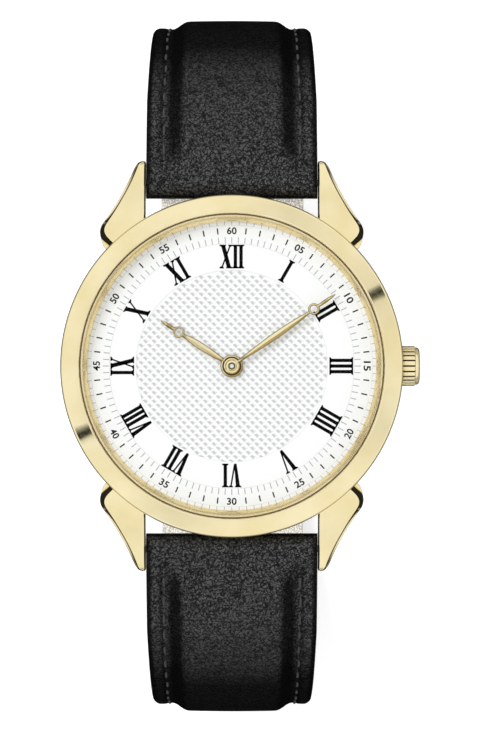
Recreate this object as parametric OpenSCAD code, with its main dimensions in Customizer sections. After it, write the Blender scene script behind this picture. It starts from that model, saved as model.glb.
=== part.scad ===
// Wristwatch: round case with four lugs, two hands, quartz movement, leather strap with buckle.
// Units are mm. Z = 0 is the outer face of the caseback, +Z points out of the dial,
// +Y is 12 o'clock, +X is 3 o'clock (the crown side). The strap bends down towards -Z.

/* [Case] */
// Bezel outer radius
bezel_r = 20; // [18:0.1:22]
// Case band radius
case_r = 19.2; // [17:0.1:21]
// Inner bore radius of the case band
bore_r = 17.5; // [16:0.1:19]
// Height of the case band top
band_top = 5.2; // [4:0.1:7]
// Height of the bezel top edge
bezel_top = 6.85; // [6:0.05:9]
// Half the gap between the lugs
lug_in = 10.08; // [8:0.01:11]
// Distance of the lug tips from the centre line
lug_tip = 24; // [22:0.05:26]
// Distance of the spring bars from the centre
bar_y = 21.4; // [20:0.1:23]
// Height of the spring bars
bar_z = 2.4; // [1.5:0.1:4]

/* [Dial and hands] */
// Dial radius
dial_r = 17.4; // [15:0.1:18]
// Visible opening radius
open_r = 16.85; // [14:0.05:17]
// Hour hand direction, clock degrees
hour_dir = 302.6; // [0:0.1:360]
// Minute hand direction, clock degrees
minute_dir = 55.3; // [0:0.1:360]
// Hour hand tip radius
hour_tip = 9.85; // [8:0.05:11]
// Minute hand tip radius
minute_tip = 14.7; // [12:0.05:16]

/* [Crown] */
// Crown radius
crown_r = 2.35; // [1.5:0.05:3]
// Stem axis height
stem_z = 2.7; // [2:0.05:3.5]
// Crown outer end
crown_x = 22; // [21:0.05:23]
// Number of flutes
flutes = 22; // [12:1:40]

/* [Strap] */
// Half width at the lugs
strap_hw = 10.03; // [8:0.05:11]
// Half width at the buckle
strap_hw2 = 9.05; // [7:0.05:10]
// Bend radius of the strap
bend_r = 28.5; // [22:0.1:40]
// Start slope of the strap, degrees below horizontal
slope = 20; // [0:1:40]
// Length of the short half from bar to bar
short_len = 75; // [60:1:90]
// Length of the long half
long_len = 115; // [100:1:130]
// Straight drop in the long half
drop = 8.5; // [0:0.5:20]
// Second bend radius of the long half
bend2_r = 30; // [20:0.5:40]
// Padding height above the flanges
pad_h = 0.8; // [0:0.05:1.5]
// Hole radius in the long half
hole_r = 0.9; // [0.5:0.05:1.2]
// Number of adjusting holes
holes = 7; // [5:1:9]

/* [Hidden] */
$fn = 96;
case_fn = 160;
gold = [0.93, 0.84, 0.6];
steel = [0.72, 0.73, 0.75];
black = [0.1, 0.1, 0.11];
brass = [0.8, 0.66, 0.35];
gasket_black = [0.12, 0.12, 0.12];
filler_grey = [0.8, 0.78, 0.7];
lining_tan = [0.85, 0.8, 0.72];

NODES = [
  "case_middle", "bezel", "crystal", "crystal_gasket", "rehaut_ring", "caseback",
  "caseback_gasket", "crown", "crown_gasket", "crown_tube", "winding_stem", "dial", "hour_hand",
  "minute_hand", "dial_washer", "main_plate", "train_bridge", "bridge_screws",
  "movement_holder", "cannon_pinion", "centre_wheel", "hour_wheel", "minute_wheel",
  "third_wheel", "intermediate_wheel", "rotor", "stator", "coil", "coil_core",
  "circuit_board", "quartz_crystal", "chip", "battery", "battery_clamp", "battery_insulator",
  "setting_lever", "yoke", "sliding_pinion", "lever_cover", "strap_12_upper",
  "strap_12_filler", "strap_12_lining", "strap_6_upper", "strap_6_filler", "strap_6_lining",
  "fixed_keeper", "free_keeper", "buckle_frame", "buckle_tongue", "bar_tubes", "bar_springs",
  "bar_12_tip_r", "bar_12_tip_l", "bar_6_tip_r", "bar_6_tip_l", "bar_b_tube", "bar_b_spring",
  "bar_b_tip_r", "bar_b_tip_l"];
node = "all";

// ---------- helpers ----------
// Solid through equal sections, each counter-clockwise seen against the advance.
// cap lists the faces that close each end, by point index; by default one face.
module loft(sections, cap = []) {
  n = len(sections[0]);
  last = (len(sections) - 1) * n;
  faces = len(cap) > 0 ? cap : [[for (i = [0:n - 1]) i]];
  sides = [for (k = [0:n:last - n]) for (i = [0:n - 1]) let (j = (i + 1) % n)
    each [[k + i, k + j, k + n + j], [k + i, k + n + j, k + n + i]]];
  start = [for (f = faces) [for (i = [len(f) - 1:-1:0]) f[i]]];
  end = [for (f = faces) [for (i = f) last + i]];
  polyhedron(points = [for (s = sections) each s], faces = concat(sides, start, end),
    convexity = 6);
}
// Flat spur gear; phase turns its first tooth, in degrees
module gear(teeth, tooth_module, h, phase = 0, bore = 0) {
  pitch_r = teeth * tooth_module / 2;
  tip_r = pitch_r + 0.8 * tooth_module;
  root_r = pitch_r - 1.15 * tooth_module;
  // corners of one tooth: [share of a tooth pitch, radius]
  tooth = [[-0.34, root_r], [-0.1, tip_r], [0.1, tip_r], [0.34, root_r]];
  difference() {
    rotate([0, 0, phase]) linear_extrude(height = h)
      polygon([for (k = [0:teeth - 1]) for (p = tooth) let (a = (k + p[0]) * 360 / teeth)
        [p[1] * cos(a), p[1] * sin(a)]]);
    if (bore > 0) up(-1) cylinder(r = bore, h = h + 2, $fn = 48);
  }
}
// Phase that lets a gear mesh with a driver lying in the opposite of direction dir
function mesh_phase(dir, driver_phase, driver_teeth, teeth) =
  dir + 180 + (dir - driver_phase) * driver_teeth / teeth - 180 / teeth;
function direction(a, b) = atan2(b[1] - a[1], b[0] - a[0]);
module ring(outer, inner, h) {
  difference() {
    cylinder(r = outer, h = h);
    up(-0.5) cylinder(r = inner, h = h + 1);
  }
}
module pin(r, h) { cylinder(r = r, h = h, $fn = 32); }
// Cylinder along X between two places
module x_rod(r, from, to, sides = 48) {
  translate([from, 0, 0]) rotate([0, 90, 0]) cylinder(r = r, h = to - from, $fn = sides);
}
module slab(z, h, outline) { up(z) linear_extrude(height = h) polygon(outline); }
// Turned case part; the profile is [radius, height]
module turned(profile) { rotate_extrude($fn = case_fn) polygon(profile); }
module up(z) { translate([0, 0, z]) children(); }
module at(place, z = 0) { translate([place[0], place[1], z]) children(); }
module at_angle(angle) { rotate([0, 0, angle]) children(); }
module both_x() { for (side = [0, 1]) mirror([side, 0, 0]) children(); }
module at_bar(side) { translate([0, side * bar_y, bar_z]) children(); }

// ---------- case ----------
back_edge = 0.9;      // height where the caseback meets the band
crystal_z = 5.75;
crystal_r = 17.6;
lug_round_y = 22.6;   // where the lug tips start to round off
lug_corner = 0.28;
// Outer side of a lug: [y, x]
lug_side = [[16, 14.95], [16.5, 14.75], [17.8, 13.9], [19.3, 13.1], [21.2, 12.15],
  [22.6, 11.5], [23.6, 11.05]];
function lug_section(y) =
  let (
    e = max(0, y - lug_round_y) / (lug_tip - lug_round_y),
    rounding = 1 - sqrt(max(0, 1 - e * e)),
    top = band_top - 0.1 - 0.034 * pow(max(0, y - 15.5), 2) - rounding * 0.9,
    bottom = 1.1 - 0.1 * (y - 15) + rounding * 0.8,
    side = lookup(y, lug_side) - rounding * 0.3)
  [[lug_in, y, bottom], [side - 0.4, y, bottom], [side + 0.12, y, bottom + 0.6],
   [side + lug_corner, y, (bottom + top) / 2], [side + lug_corner, y, top - lug_corner * 1.1],
   [side, y, top], [lug_in + 0.12, y, top], [lug_in, y, top - 0.12]];
module lug() {
  root_y = 13;
  loft([for (i = [0:18]) lug_section(root_y + i * (lug_tip - root_y) / 18)]);
}
// Small step beside each lug where it meets the band
module shoulder() {
  slab(1.5, 3.3, [[12, 12.5], [14.3, 13.1], [14.95, 13.9], [15.4, 14.9], [15.1, 15.8],
    [13, 17.2], [11, 16]]);
}
module case_middle() {
  color(gold) difference() {
    union() {
      turned([[15, back_edge], [18.75, back_edge], [19.05, 1.2], [case_r, 1.9],
        [case_r, 4.6], [19.1, band_top], [15, band_top]]);
      both_x() for (side = [0, 1]) mirror([0, side, 0]) {
        lug();
        shoulder();
      }
    }
    cylinder(r = bore_r, h = 7, $fn = case_fn);
    // crown tube hole and spring bar holes
    up(stem_z) x_rod(0.9, 15, 21);
    for (side = [-1, 1]) at_bar(side) both_x() x_rod(0.45, 9.5, 11);
  }
}
module bezel() {
  color(gold) turned([[17.75, crystal_z], [17.5, crystal_z], [17.5, band_top],
    [19.6, band_top], [19.9, 5.35], [bezel_r, 5.65], [bezel_r, 5.85], [19.92, 5.97],
    [18.02, bezel_top - 0.01], [17.9, bezel_top], [17.8, bezel_top - 0.03],
    [17.75, bezel_top - 0.12]]);
}
module crystal() {
  color([0.8, 0.9, 0.95, 0.35]) up(crystal_z)
    turned([[0, 0], [crystal_r, 0], [crystal_r, 0.85], [17.45, 1], [0, 1]]);
}
module crystal_gasket() {
  color(gasket_black) up(crystal_z) ring(17.74, crystal_r + 0.01, 0.8, $fn = case_fn);
}
module rehaut_ring() {
  color(gold) turned([[17.45, 4.4], [17.45, crystal_z], [17.38, 5.7], [16.98, 5.12],
    [open_r, 4.85], [open_r, 4.4]]);
}
module caseback() {
  color(steel) turned([[0, 0], [17.6, 0], [18.3, 0.25], [18.6, back_edge],
    [17.45, back_edge], [17.45, 1.3], [17.3, 1.3], [17.3, 1.65], [16.5, 1.65],
    [16.5, back_edge], [0, back_edge]]);
}
module caseback_gasket() {
  color(gasket_black) up(1.31) ring(17.48, 17.31, 0.34, $fn = case_fn);
}

// ---------- crown and stem ----------
crown_in_x = 19.5;    // inner end of the crown
crown_cap_x = 21.4;   // where the domed end starts
cap_h = crown_x - crown_cap_x;
module crown() {
  color(gold) up(stem_z) difference() {
    rotate([0, 90, 0]) {
      up(crown_in_x) difference() {
        cylinder(r = crown_r, h = 1.95);
        for (i = [0:flutes - 1]) at_angle(i * 360 / flutes)
          translate([crown_r + 0.02, 0, -0.1]) cylinder(r = 0.15, h = 3, $fn = 24);
      }
      // domed end: [radius, distance outwards]
      up(crown_cap_x) rotate_extrude() polygon([[0, 0], [2.1, 0], [2.12, 0.16],
        [2.04, 0.34], [1.8, 0.49], [1.2, cap_h - 0.03], [0.6, cap_h - 0.005], [0, cap_h]]);
    }
    // recess for tube and gasket, then the stem hole
    x_rod(1.35, 19.4, 20.9);
    x_rod(0.36, 20.8, 21.3);
  }
}
module x_ring(x, outer, inner, length) {
  translate([x, 0, stem_z]) rotate([0, 90, 0]) ring(outer, inner, length, $fn = 64);
}
module crown_gasket() { color(gasket_black) x_ring(19.8, 1.33, 0.94, 0.5); }
module crown_tube() { color(steel) x_ring(17.36, 0.89, 0.42, 3.34); }
module winding_stem() {
  // round sections: [radius, from x, to x]
  sections = [[0.2, 3.95, 5.1], [0.2, 8.6, 9.4], [0.35, 9.3, 21.28], [0.35, 8.65, 8.9]];
  color(steel) up(stem_z) union() {
    for (s = sections) x_rod(s[0], s[1], s[2]);
    // square section that carries the sliding pinion
    translate([5, -0.25, -0.25]) cube([3.7, 0.5, 0.5]);
  }
}

// ---------- dial and hands ----------
dial_z = 4;
foot_angles = [60, 240];
foot_dist = 9;
hour_z = 4.75;
minute_z = 5.15;
module dial() {
  color([0.96, 0.96, 0.95]) difference() {
    union() {
      up(dial_z) cylinder(r = dial_r, h = 0.4, $fn = case_fn);
      for (a = foot_angles) at_angle(a) translate([foot_dist, 0, 3.1]) pin(0.35, 1);
    }
    up(3) cylinder(r = 0.85, h = 3);
  }
}
// Blade along +Y with a centre ridge; stations are [distance, half width]
module hand_blade(stations, t) {
  loft([for (p = stations) let (y = p[0], half = p[1])
    [[-half, y, 0], [half, y, 0], [half, y, t * 0.45], [0, y, t], [-half, y, t * 0.45]]]);
}
// Hand with a hub, and a small ring between its inner and outer blades
module hand(dir, z, t, inner_blade, outer_blade, hub_r, hub_hole_r, ring_y, ring_r, ring_hole_r,
    ring_h) {
  rotate([0, 0, -dir]) up(z) difference() {
    union() {
      hand_blade(inner_blade, t);
      hand_blade(outer_blade, t);
      cylinder(r = hub_r, h = t);
      translate([0, ring_y, 0]) cylinder(r = ring_r, h = ring_h);
    }
    translate([0, ring_y, -1]) cylinder(r = ring_hole_r, h = 3);
    up(-1) cylinder(r = hub_hole_r, h = 3);
  }
}
module hour_hand() {
  color(gold) hand(hour_dir, hour_z, t = 0.22,
    inner_blade = [[0.9, 0.26], [2, 0.3], [3.6, 0.39], [5.2, 0.34], [6.9, 0.18]],
    outer_blade = [[7.85, 0.2], [8.4, 0.24], [9.1, 0.15], [hour_tip, 0.03]],
    hub_r = 1.28, hub_hole_r = 0.76,
    ring_y = 7.35, ring_r = 0.67, ring_hole_r = 0.44, ring_h = 0.2);
}
module minute_hand() {
  color(gold) hand(minute_dir, minute_z, t = 0.2,
    inner_blade = [[0.6, 0.2], [3, 0.25], [6, 0.3], [9, 0.24], [11.15, 0.14]],
    outer_blade = [[12.2, 0.16], [12.9, 0.2], [13.8, 0.12], [minute_tip, 0.03]],
    hub_r = 0.95, hub_hole_r = 0.43,
    ring_y = 11.66, ring_r = 0.68, ring_hole_r = 0.42, ring_h = 0.18);
}
module dial_washer() { color(brass) up(3.88) ring(2, 0.82, 0.06); }

// ---------- movement: plates ----------
// Places are [x, y]
centre = [0, 0];
third = [-2.97, 2.97];
inter = [-1.17, 6.09];
rotor_at = [-1.587, 8.454];
minute_at = [3, 0];
battery_at = [-5.2, -5.3];
bridge_posts = [[-6.4, 5.6], [2.4, 4.6]];
clamp_post = [-1.4, -8.8];
lever_post = [9.1, 2.1];
yoke_post = [7.5, -3.4];
plate_z = 3;
plate_r = 11.65;
bridge_z = 1.5;
bridge_t = 0.35;
clamp_z = 1.2;
pivot_hole_r = 0.15;
screw_hole_r = 0.3;
module main_plate() {
  color(brass) difference() {
    union() {
      up(plate_z) cylinder(r = plate_r, h = 1);
      for (p = bridge_posts) at(p, bridge_z + bridge_t) pin(0.7, 1.3);
      at(clamp_post, 1.35) pin(0.7, 1.8);
      // two blocks that carry the stem
      translate([4, -1.2, 1.75]) cube([0.9, 2.4, 1.4]);
      translate([9.9, -1.2, 2.02]) cube([1.3, 2.4, 1.13]);
      at(lever_post, 1.62) pin(0.3, 1.5);
      at(yoke_post, 2.2) pin(0.3, 0.9);
    }
    // recess on the dial side, opening for the sliding pinion, stem bores
    up(3.4) cylinder(r = 10.8, h = 1);
    translate([5.6, -0.95, 2.9]) cube([4.3, 1.9, 1]);
    up(stem_z) x_rod(0.4, 5.2, 13);
    up(stem_z) x_rod(0.24, 3.5, 5.3);
    // holes for the wheels, dial feet and screws
    up(2.9) cylinder(r = 0.5, h = 1);
    at(minute_at, 2.9) cylinder(r = 0.25, h = 1);
    for (p = [third, inter, rotor_at]) at(p, 2.5) pin(pivot_hole_r, 1.3);
    for (a = foot_angles) at_angle(a) translate([foot_dist, 0, 2.5]) pin(0.4, 2);
    for (p = concat(bridge_posts, [clamp_post])) at(p, 1) pin(screw_hole_r, 1.95);
  }
}
module train_bridge() {
  color(brass) difference() {
    slab(bridge_z, bridge_t, [[2.2, -1.2], [3.3, 4.2], [2.9, 5.5], [0.4, 5.6], [-0.1, 9.6],
      [-3, 9.8], [-7.2, 6.6], [-7.3, 4.8], [-5.2, 0.5], [-1.6, -2]]);
    for (p = [centre, third, inter, rotor_at]) at(p, 1) pin(pivot_hole_r, 2);
    for (p = bridge_posts) at(p, 1) pin(screw_hole_r, 2);
  }
}
// Slotted screw with its head below z = 0
module screw() {
  difference() {
    union() {
      up(-0.24) pin(0.6, 0.24);
      up(-0.02) pin(0.27, 1.3);
    }
    translate([-1, -0.08, -0.4]) cube([2, 0.16, 0.28]);
  }
}
module bridge_screws() {
  color(steel) {
    for (p = bridge_posts) at(p, bridge_z) screw();
    at(clamp_post, clamp_z) screw();
  }
}
module movement_holder() {
  // round pockets: [angle, radius]
  pockets = [[45, 1.9], [135, 1.9], [225, 1.9], [315, 1.9], [90, 1.5], [180, 1.5], [270, 1.5]];
  color([0.85, 0.85, 0.82]) difference() {
    up(1.7) ring(17.3, plate_r + 0.1, 2.3, $fn = 128);
    up(stem_z) x_rod(0.5, 10, 18);
    for (p = pockets) at_angle(p[0]) translate([14.5, 0, 2.4]) cylinder(r = p[1], h = 3);
  }
}

// ---------- movement: wheels ----------
train_module = 0.12;
motion_module = 0.125;   // cannon pinion and minute wheel
wheel_t = 0.13;
centre_teeth = 60;
third_teeth = 50;
inter_teeth = 30;
pinion_teeth = 10;
cannon_teeth = 12;
cannon_phase = 15;
hour_teeth = 40;
motion_z = 3.45;
arbor_z = 1.55;
// Pinion driven by the wheel at from, whose phase is 0
module driven_pinion(from, to, driver_teeth, h) {
  gear(pinion_teeth, train_module, h,
    mesh_phase(direction(from, to), 0, driver_teeth, pinion_teeth));
}
module arbor(h = 1.75) { up(arbor_z) pin(0.12, h); }
// Wheel with its driven pinion on one arbor
module train_wheel(from, to, driver_teeth, teeth, z, pinion_h) {
  at(to) union() {
    up(z) gear(teeth, train_module, wheel_t);
    up(z + 0.05) driven_pinion(from, to, driver_teeth, pinion_h);
    arbor();
  }
}
module cannon_pinion() {
  color(steel) union() {
    up(motion_z) gear(cannon_teeth, motion_module, 0.15, cannon_phase, bore = 0.26);
    up(3.1) ring(0.42, 0.26, 2.4, $fn = 48);
  }
}
module centre_wheel() {
  color(brass) union() {
    up(2.75) gear(centre_teeth, train_module, wheel_t);
    arbor(0.5);
    up(1.9) pin(0.25, 3.55);
  }
}
module hour_wheel() {
  color(brass) up(3.68) union() {
    gear(hour_teeth, train_module, 0.14, bore = 0.48);
    ring(0.75, 0.48, 1.28, $fn = 48);
  }
}
// The wheel meshes the cannon pinion, its own pinion meshes the hour wheel
module minute_wheel() {
  teeth = 36;
  color(brass) at(minute_at) union() {
    up(motion_z) gear(teeth, motion_module, 0.15,
      mesh_phase(direction(centre, minute_at), cannon_phase, cannon_teeth, teeth));
    up(3.5) driven_pinion(centre, minute_at, hour_teeth, 0.36);
    up(3.05) pin(0.2, 0.5);
  }
}
module third_wheel() {
  color(brass) train_wheel(centre, third, centre_teeth, third_teeth, z = 2.35, pinion_h = 0.56);
}
module intermediate_wheel() {
  color(brass) train_wheel(third, inter, third_teeth, inter_teeth, z = 2.05, pinion_h = 0.48);
}
module rotor() {
  color([0.3, 0.3, 0.33]) at(rotor_at) union() {
    up(1.95) driven_pinion(inter, rotor_at, inter_teeth, 0.35);
    arbor();
    up(2.38) cylinder(r = 1, h = 0.5, $fn = 48);
    up(2.25) pin(0.4, 0.2);
  }
}

// ---------- movement: motor and electronics ----------
module stator() {
  color(steel) up(2.5) linear_extrude(height = 0.3) difference() {
    union() {
      translate(rotor_at) circle(r = 1.55);
      // arc near the plate rim, kept between 42 and 100 degrees
      difference() {
        circle(r = 11.1);
        circle(r = 9.85);
        polygon([[0, 0], [-30 * cos(80), 30 * sin(80)], [-30, 0], [0, -30], [30, 0],
          [30 * cos(42), 30 * sin(42)]]);
      }
      // link from rotor ring to arc, then the seats of the two core ends
      polygon([[-1.8, 9.3], [-0.8, 9.3], [-0.2, 10.3], [-1.4, 10.4]]);
      polygon([[-0.6, 7.6], [1.2, 6.75], [1.75, 6.75], [1.75, 7.3], [-0.3, 8.7]]);
      polygon([[6.1, 6.75], [7.1, 6.75], [7.5, 7.4], [7, 8], [6.1, 8.2]]);
    }
    translate(rotor_at) circle(r = 1.15);
  }
}
module coil() {
  color([0.75, 0.4, 0.2]) translate([0, 7, 2.2]) difference() {
    x_rod(0.72, 1.9, 5.6);
    translate([1, -0.28, -0.28]) cube([6, 0.56, 0.56]);
  }
}
module coil_core() { color(steel) translate([1.1, 6.75, 1.95]) cube([5.8, 0.5, 0.5]); }
module circuit_board() {
  color([0.1, 0.35, 0.2]) difference() {
    slab(2.5, 0.2, [[0, -4.5], [7, -4.5], [8.6, -5.6], [8, -7.6], [5.8, -9.2], [5.4, -7.9],
      [0.4, -7.9], [-0.6, -6.6]]);
    translate([2.5, -6, 2]) pin(0.4, 1);
  }
}
module quartz_crystal() {
  color([0.8, 0.8, 0.82]) translate([0, -8.9, 2.2]) x_rod(0.7, 0.6, 5.2);
}
module chip() { color(black) translate([4.2, -6.9, 2.02]) cube([1.8, 1.8, 0.46]); }
module battery() {
  color(steel) at(battery_at) union() {
    up(1.35) cylinder(r = 3.4, h = 1.25);
    up(2.55) cylinder(r = 2.9, h = 0.37);
  }
}
module battery_clamp() {
  color(steel) difference() {
    slab(clamp_z, 0.14, [[-7.2, -6.4], [-6.2, -7.4], [-2.2, -9.7], [-0.8, -9.6],
      [-0.6, -8.4], [-1.2, -7.9], [-4, -6.4], [-5.4, -5.2], [-6.6, -4.9]]);
    at(clamp_post, 0.5) pin(screw_hole_r, 2);
  }
}
module battery_insulator() {
  color([0.9, 0.75, 0.3]) at(battery_at, 2.93) cylinder(r = 3.35, h = 0.06);
}

// ---------- movement: hand setting ----------
post_hole_r = 0.34;
module setting_lever() {
  color(steel) union() {
    difference() {
      slab(1.72, 0.18, [[8.85, -0.25], [9.35, -0.25], [9.6, 1.5], [9.6, 2.5], [9.1, 2.75],
        [7.6, 2.9], [7.5, 2.5], [8.6, 1.7]]);
      at(lever_post, 1) pin(post_hole_r, 2);
    }
    // pin that reaches into the stem groove
    translate([9.1, 0, 1.8]) pin(0.12, 0.66);
  }
}
module yoke() {
  color(steel) difference() {
    slab(2.62, 0.16, [[7.38, -0.56], [7.62, -0.56], [7.8, -1.6], [8.1, -3.4], [7.8, -4],
      [7.2, -4], [6.9, -3.4], [7.2, -1.6]]);
    at(yoke_post, 2) pin(post_hole_r, 2);
  }
}
module sliding_pinion() {
  color(steel) up(stem_z) difference() {
    translate([6.6, 0, 0]) rotate([0, 90, 0]) union() {
      gear(12, 0.11, 0.5);
      pin(0.5, 1.8);
      // two collars with the yoke groove between them
      up(0.5) pin(0.72, 0.2);
      up(1.1) pin(0.72, 0.7);
    }
    translate([6, -0.27, -0.27]) cube([3, 0.54, 0.54]);
  }
}
module lever_cover() {
  color(steel) difference() {
    slab(1.42, 0.18, [[6.9, 1.2], [10.6, -1.1], [11.1, 0.4], [10.6, 2.6], [9.4, 3.4],
      [7.6, 3.2]]);
    translate([10.3, 0, 0]) pin(0.2, 3);
  }
}

// ---------- strap ----------
// Both halves are built towards +Y; s is the length along the strap from the case bar,
// long picks the 6 o'clock half, and offsets count outwards from the bar line.
bend_y = bar_y - bend_r * sin(slope);
bend_z = bar_z - bend_r * cos(slope);
arc_len = bend_r * (90 - slope) * PI / 180;
arc2_len = bend2_r * PI / 2;
lining_from = 4;
turn_len = 2.4;      // length of the turn round the buckle bar
turn_r = 1.25;
fill_from = 8;
fill_to = 50;
tip_len = 9;         // length of the rounded tip of the long half
function half_len(long) = long ? long_len : short_len;
// Bar line at s: [y, z, heading in degrees below horizontal]
function path(s, long) =
  let (
    heading = slope + (long ? min(s, arc_len) : s) / bend_r * 180 / PI,
    y = bend_y + bend_r * sin(heading),
    z = bend_z + bend_r * cos(heading),
    past = s - arc_len,
    past2 = past - drop,
    turn = past2 / bend2_r * 180 / PI)
  !long || past <= 0 ? [y, z, heading] :
  past2 <= 0 ? [y, z - past, 90] :
  past2 <= arc2_len ?
    [y - bend2_r + bend2_r * cos(turn), z - drop - bend2_r * sin(turn), 90 + turn] :
  [y - bend2_r - (past2 - arc2_len), z - drop - bend2_r, 180];
// Places a section of [x, offset] points across the strap at s
function place(s, long, section) = let (p = path(s, long))
  [for (q = section) [q[0], p[0] + q[1] * sin(p[2]), p[1] + q[1] * cos(p[2])]];
function half_width(s, long) =
  let (w = strap_hw + (strap_hw2 - strap_hw) * min(1, max(0, (s - 11) / 37)),
    past = s - long_len + tip_len)
  long && past > 0 ? w * sqrt(max(0.0225, 1 - pow(past / (tip_len + 0.1), 2))) : w;
// Tables of [s, value]
function inner_face(s) = -lookup(s, [[-2, 1.2], [0, 1.6], [4, 1.55], [12, 1.1], [18, 1]]);
function outer_face(s) =
  lookup(s, [[-2, 1.2], [0, 1.85], [6, 1.4], [14, 1.2], [60, 1.0], [120, 0.9]]);
function padding(s) =
  pad_h * lookup(s, [[3, 0], [6, 0.6], [10, 1], [34, 1], [52, 0.25], [58, 0]]);
function lining_top(s) = inner_face(s) + 0.85;
function cavity_top(s) = max(lining_top(s), outer_face(s) + padding(s) - 0.75);
// Where the lining stops under the upper layer
function lining_to(long) = half_len(long) - (long ? 0.001 : turn_len);
// Triangles that close the ends of the upper layer
upper_cap = [[0, 14, 15], [0, 13, 14], [0, 1, 13], [1, 12, 13], [1, 2, 12], [2, 11, 12],
  [2, 3, 11], [3, 10, 11], [3, 9, 10], [3, 4, 9], [4, 8, 9], [4, 5, 8], [5, 7, 8], [5, 6, 7]];
function upper_section(s, long) =
  let (
    to = lining_to(long),
    past = s - half_len(long),
    at_turn = !long && s >= to,
    full = s <= lining_from || at_turn,   // full thickness, no lining
    w = half_width(s, long),
    k = w / strap_hw,
    blend = at_turn ? min(1, (s - to) / 2.2) : 0,
    shrink = past > 0 ? sqrt(1 - pow(past / turn_r, 2)) : 1,
    outer = (outer_face(s) * (1 - blend) + turn_r * blend) * shrink,
    top = outer + padding(s),
    inner = full ? (inner_face(s) * (1 - blend) - turn_r * blend) * shrink : lining_top(s),
    cavity = !full && s > fill_from && s < fill_to ? cavity_top(s) : inner,
    edge = outer - 0.25 * shrink,
    mid = (outer + top) / 2 + (top - outer) * 0.12)
  [[-w, inner], [-6.9 * k, inner], [-5.5 * k, cavity], [5.5 * k, cavity], [6.9 * k, inner],
   [w, inner], [w, edge], [w - 0.25, outer], [7.4 * k, outer], [6.4 * k, mid], [5 * k, top],
   [-5 * k, top], [-6.4 * k, mid], [-7.4 * k, outer], [-w + 0.25, outer], [-w, edge]];
// Upper layer of one half, turned round the bar at its ends
module upper(long) {
  steps = long ? 62 : 46;
  from = lining_from;
  to = lining_to(long);
  stations = concat(
    [for (i = [0:3]) -0.9 + i * (from + 0.9) / 3],
    [for (i = [0:steps]) from + 0.02 + (to - from - 0.04) * i / steps],
    long ? [] : [for (d = [-turn_len, -1.8, -1.2, -0.6, 0, 0.5, 0.9, 1.15]) short_len + d]);
  loft([for (s = stations) place(s, long, upper_section(s, long))], upper_cap);
}
module lining(long) {
  from = lining_from + 0.05;
  to = half_len(long) - 0.05 - (long ? 0 : turn_len);
  steps = long ? 60 : 44;
  loft([for (i = [0:steps])
    let (s = from + (to - from) * i / steps, w = half_width(s, long) - 0.02,
      low = inner_face(s), high = lining_top(s) - 0.02)
    place(s, long, [[-w + 0.2, low], [w - 0.2, low], [w, low + 0.2], [w, high], [-w, high],
      [-w, low + 0.2]])]);
}
module filler(long) {
  from = fill_from + 1.6;
  to = fill_to - 1.6;
  steps = 30;
  loft([for (i = [0:steps])
    let (s = from + (to - from) * i / steps, k = half_width(s, long) / strap_hw,
      low = lining_top(s) + 0.02, high = max(lining_top(s) + 0.1, cavity_top(s) - 0.06))
    place(s, long, [[-6.6 * k, low], [6.6 * k, low], [5.4 * k, high], [-5.4 * k, high]])]);
}
// Moves to s on the strap: +Y runs on along it, +Z points outwards
module at_path(s, long = false) {
  p = path(s, long);
  translate([0, p[0], p[1]]) rotate([-p[2], 0, 0]) children();
}
module at_buckle() { at_path(short_len) children(); }
module tongue_slot() { at_buckle() translate([-1.35, -3.4, -4]) cube([2.7, 8, 8]); }
module hole_cut() {
  for (i = [0:holes - 1]) at_path(long_len - 22 - 6.5 * i, true) up(-4) pin(hole_r, 8);
}
// Upper layer with the bored round end at the case bar
module looped_upper(long) {
  difference() {
    union() {
      upper(long);
      at_bar(1) x_rod(1.85, -strap_hw, strap_hw, 64);
    }
    at_bar(1) x_rod(0.8, -12, 12, 64);
  }
}
module strap_12_upper() {
  color(black) difference() {
    looped_upper(false);
    at_buckle() x_rod(0.65, -12, 12, 64);
    tongue_slot();
  }
}
module strap_12_filler() { color(filler_grey) filler(false); }
module strap_12_lining() {
  color(lining_tan) difference() {
    lining(false);
    tongue_slot();
  }
}
// Turns a layer to the 6 o'clock side and cuts the adjusting holes
module six_half() {
  mirror([0, 1, 0]) difference() {
    children();
    hole_cut();
  }
}
module strap_6_upper() { color(black) six_half() looped_upper(true); }
module strap_6_filler() { color(filler_grey) six_half() filler(true); }
module strap_6_lining() { color(lining_tan) six_half() lining(true); }

// ---------- keepers and buckle ----------
// Loop round the strap; outlines are [x, offset inwards]
module keeper(s, w = 5) {
  at_path(s) translate([0, -w / 2, 0]) rotate([-90, 0, 0])
    linear_extrude(height = w) difference() {
      polygon([[-10.2, 1.9], [-9.9, 2.3], [9.9, 2.3], [10.2, 1.9], [10.2, -3.9],
        [9.4, -4.7], [-9.4, -4.7], [-10.2, -3.9]]);
      polygon([[-9.25, 1.35], [9.25, 1.35], [9.25, -3.2], [8.9, -3.75], [-8.9, -3.75],
        [-9.25, -3.2]]);
    }
}
module fixed_keeper() { color(black) keeper(66); }
module free_keeper() { color(black) keeper(56); }
arm_x = 9.3;
arm_w = 1.7;
buckle_hw = arm_x + arm_w;
module buckle_frame() {
  color(gold) at_buckle() difference() {
    union() {
      for (x = [-buckle_hw, arm_x]) translate([x, 0, 0]) {
        translate([0, -0.2, -0.9]) cube([arm_w, 8.6, 1.8]);
        x_rod(1.1, 0, arm_w);
      }
      translate([0, 8.6, 0]) x_rod(0.95, -buckle_hw, buckle_hw);
    }
    both_x() x_rod(0.4, 9, 10.6);
  }
}
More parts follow.
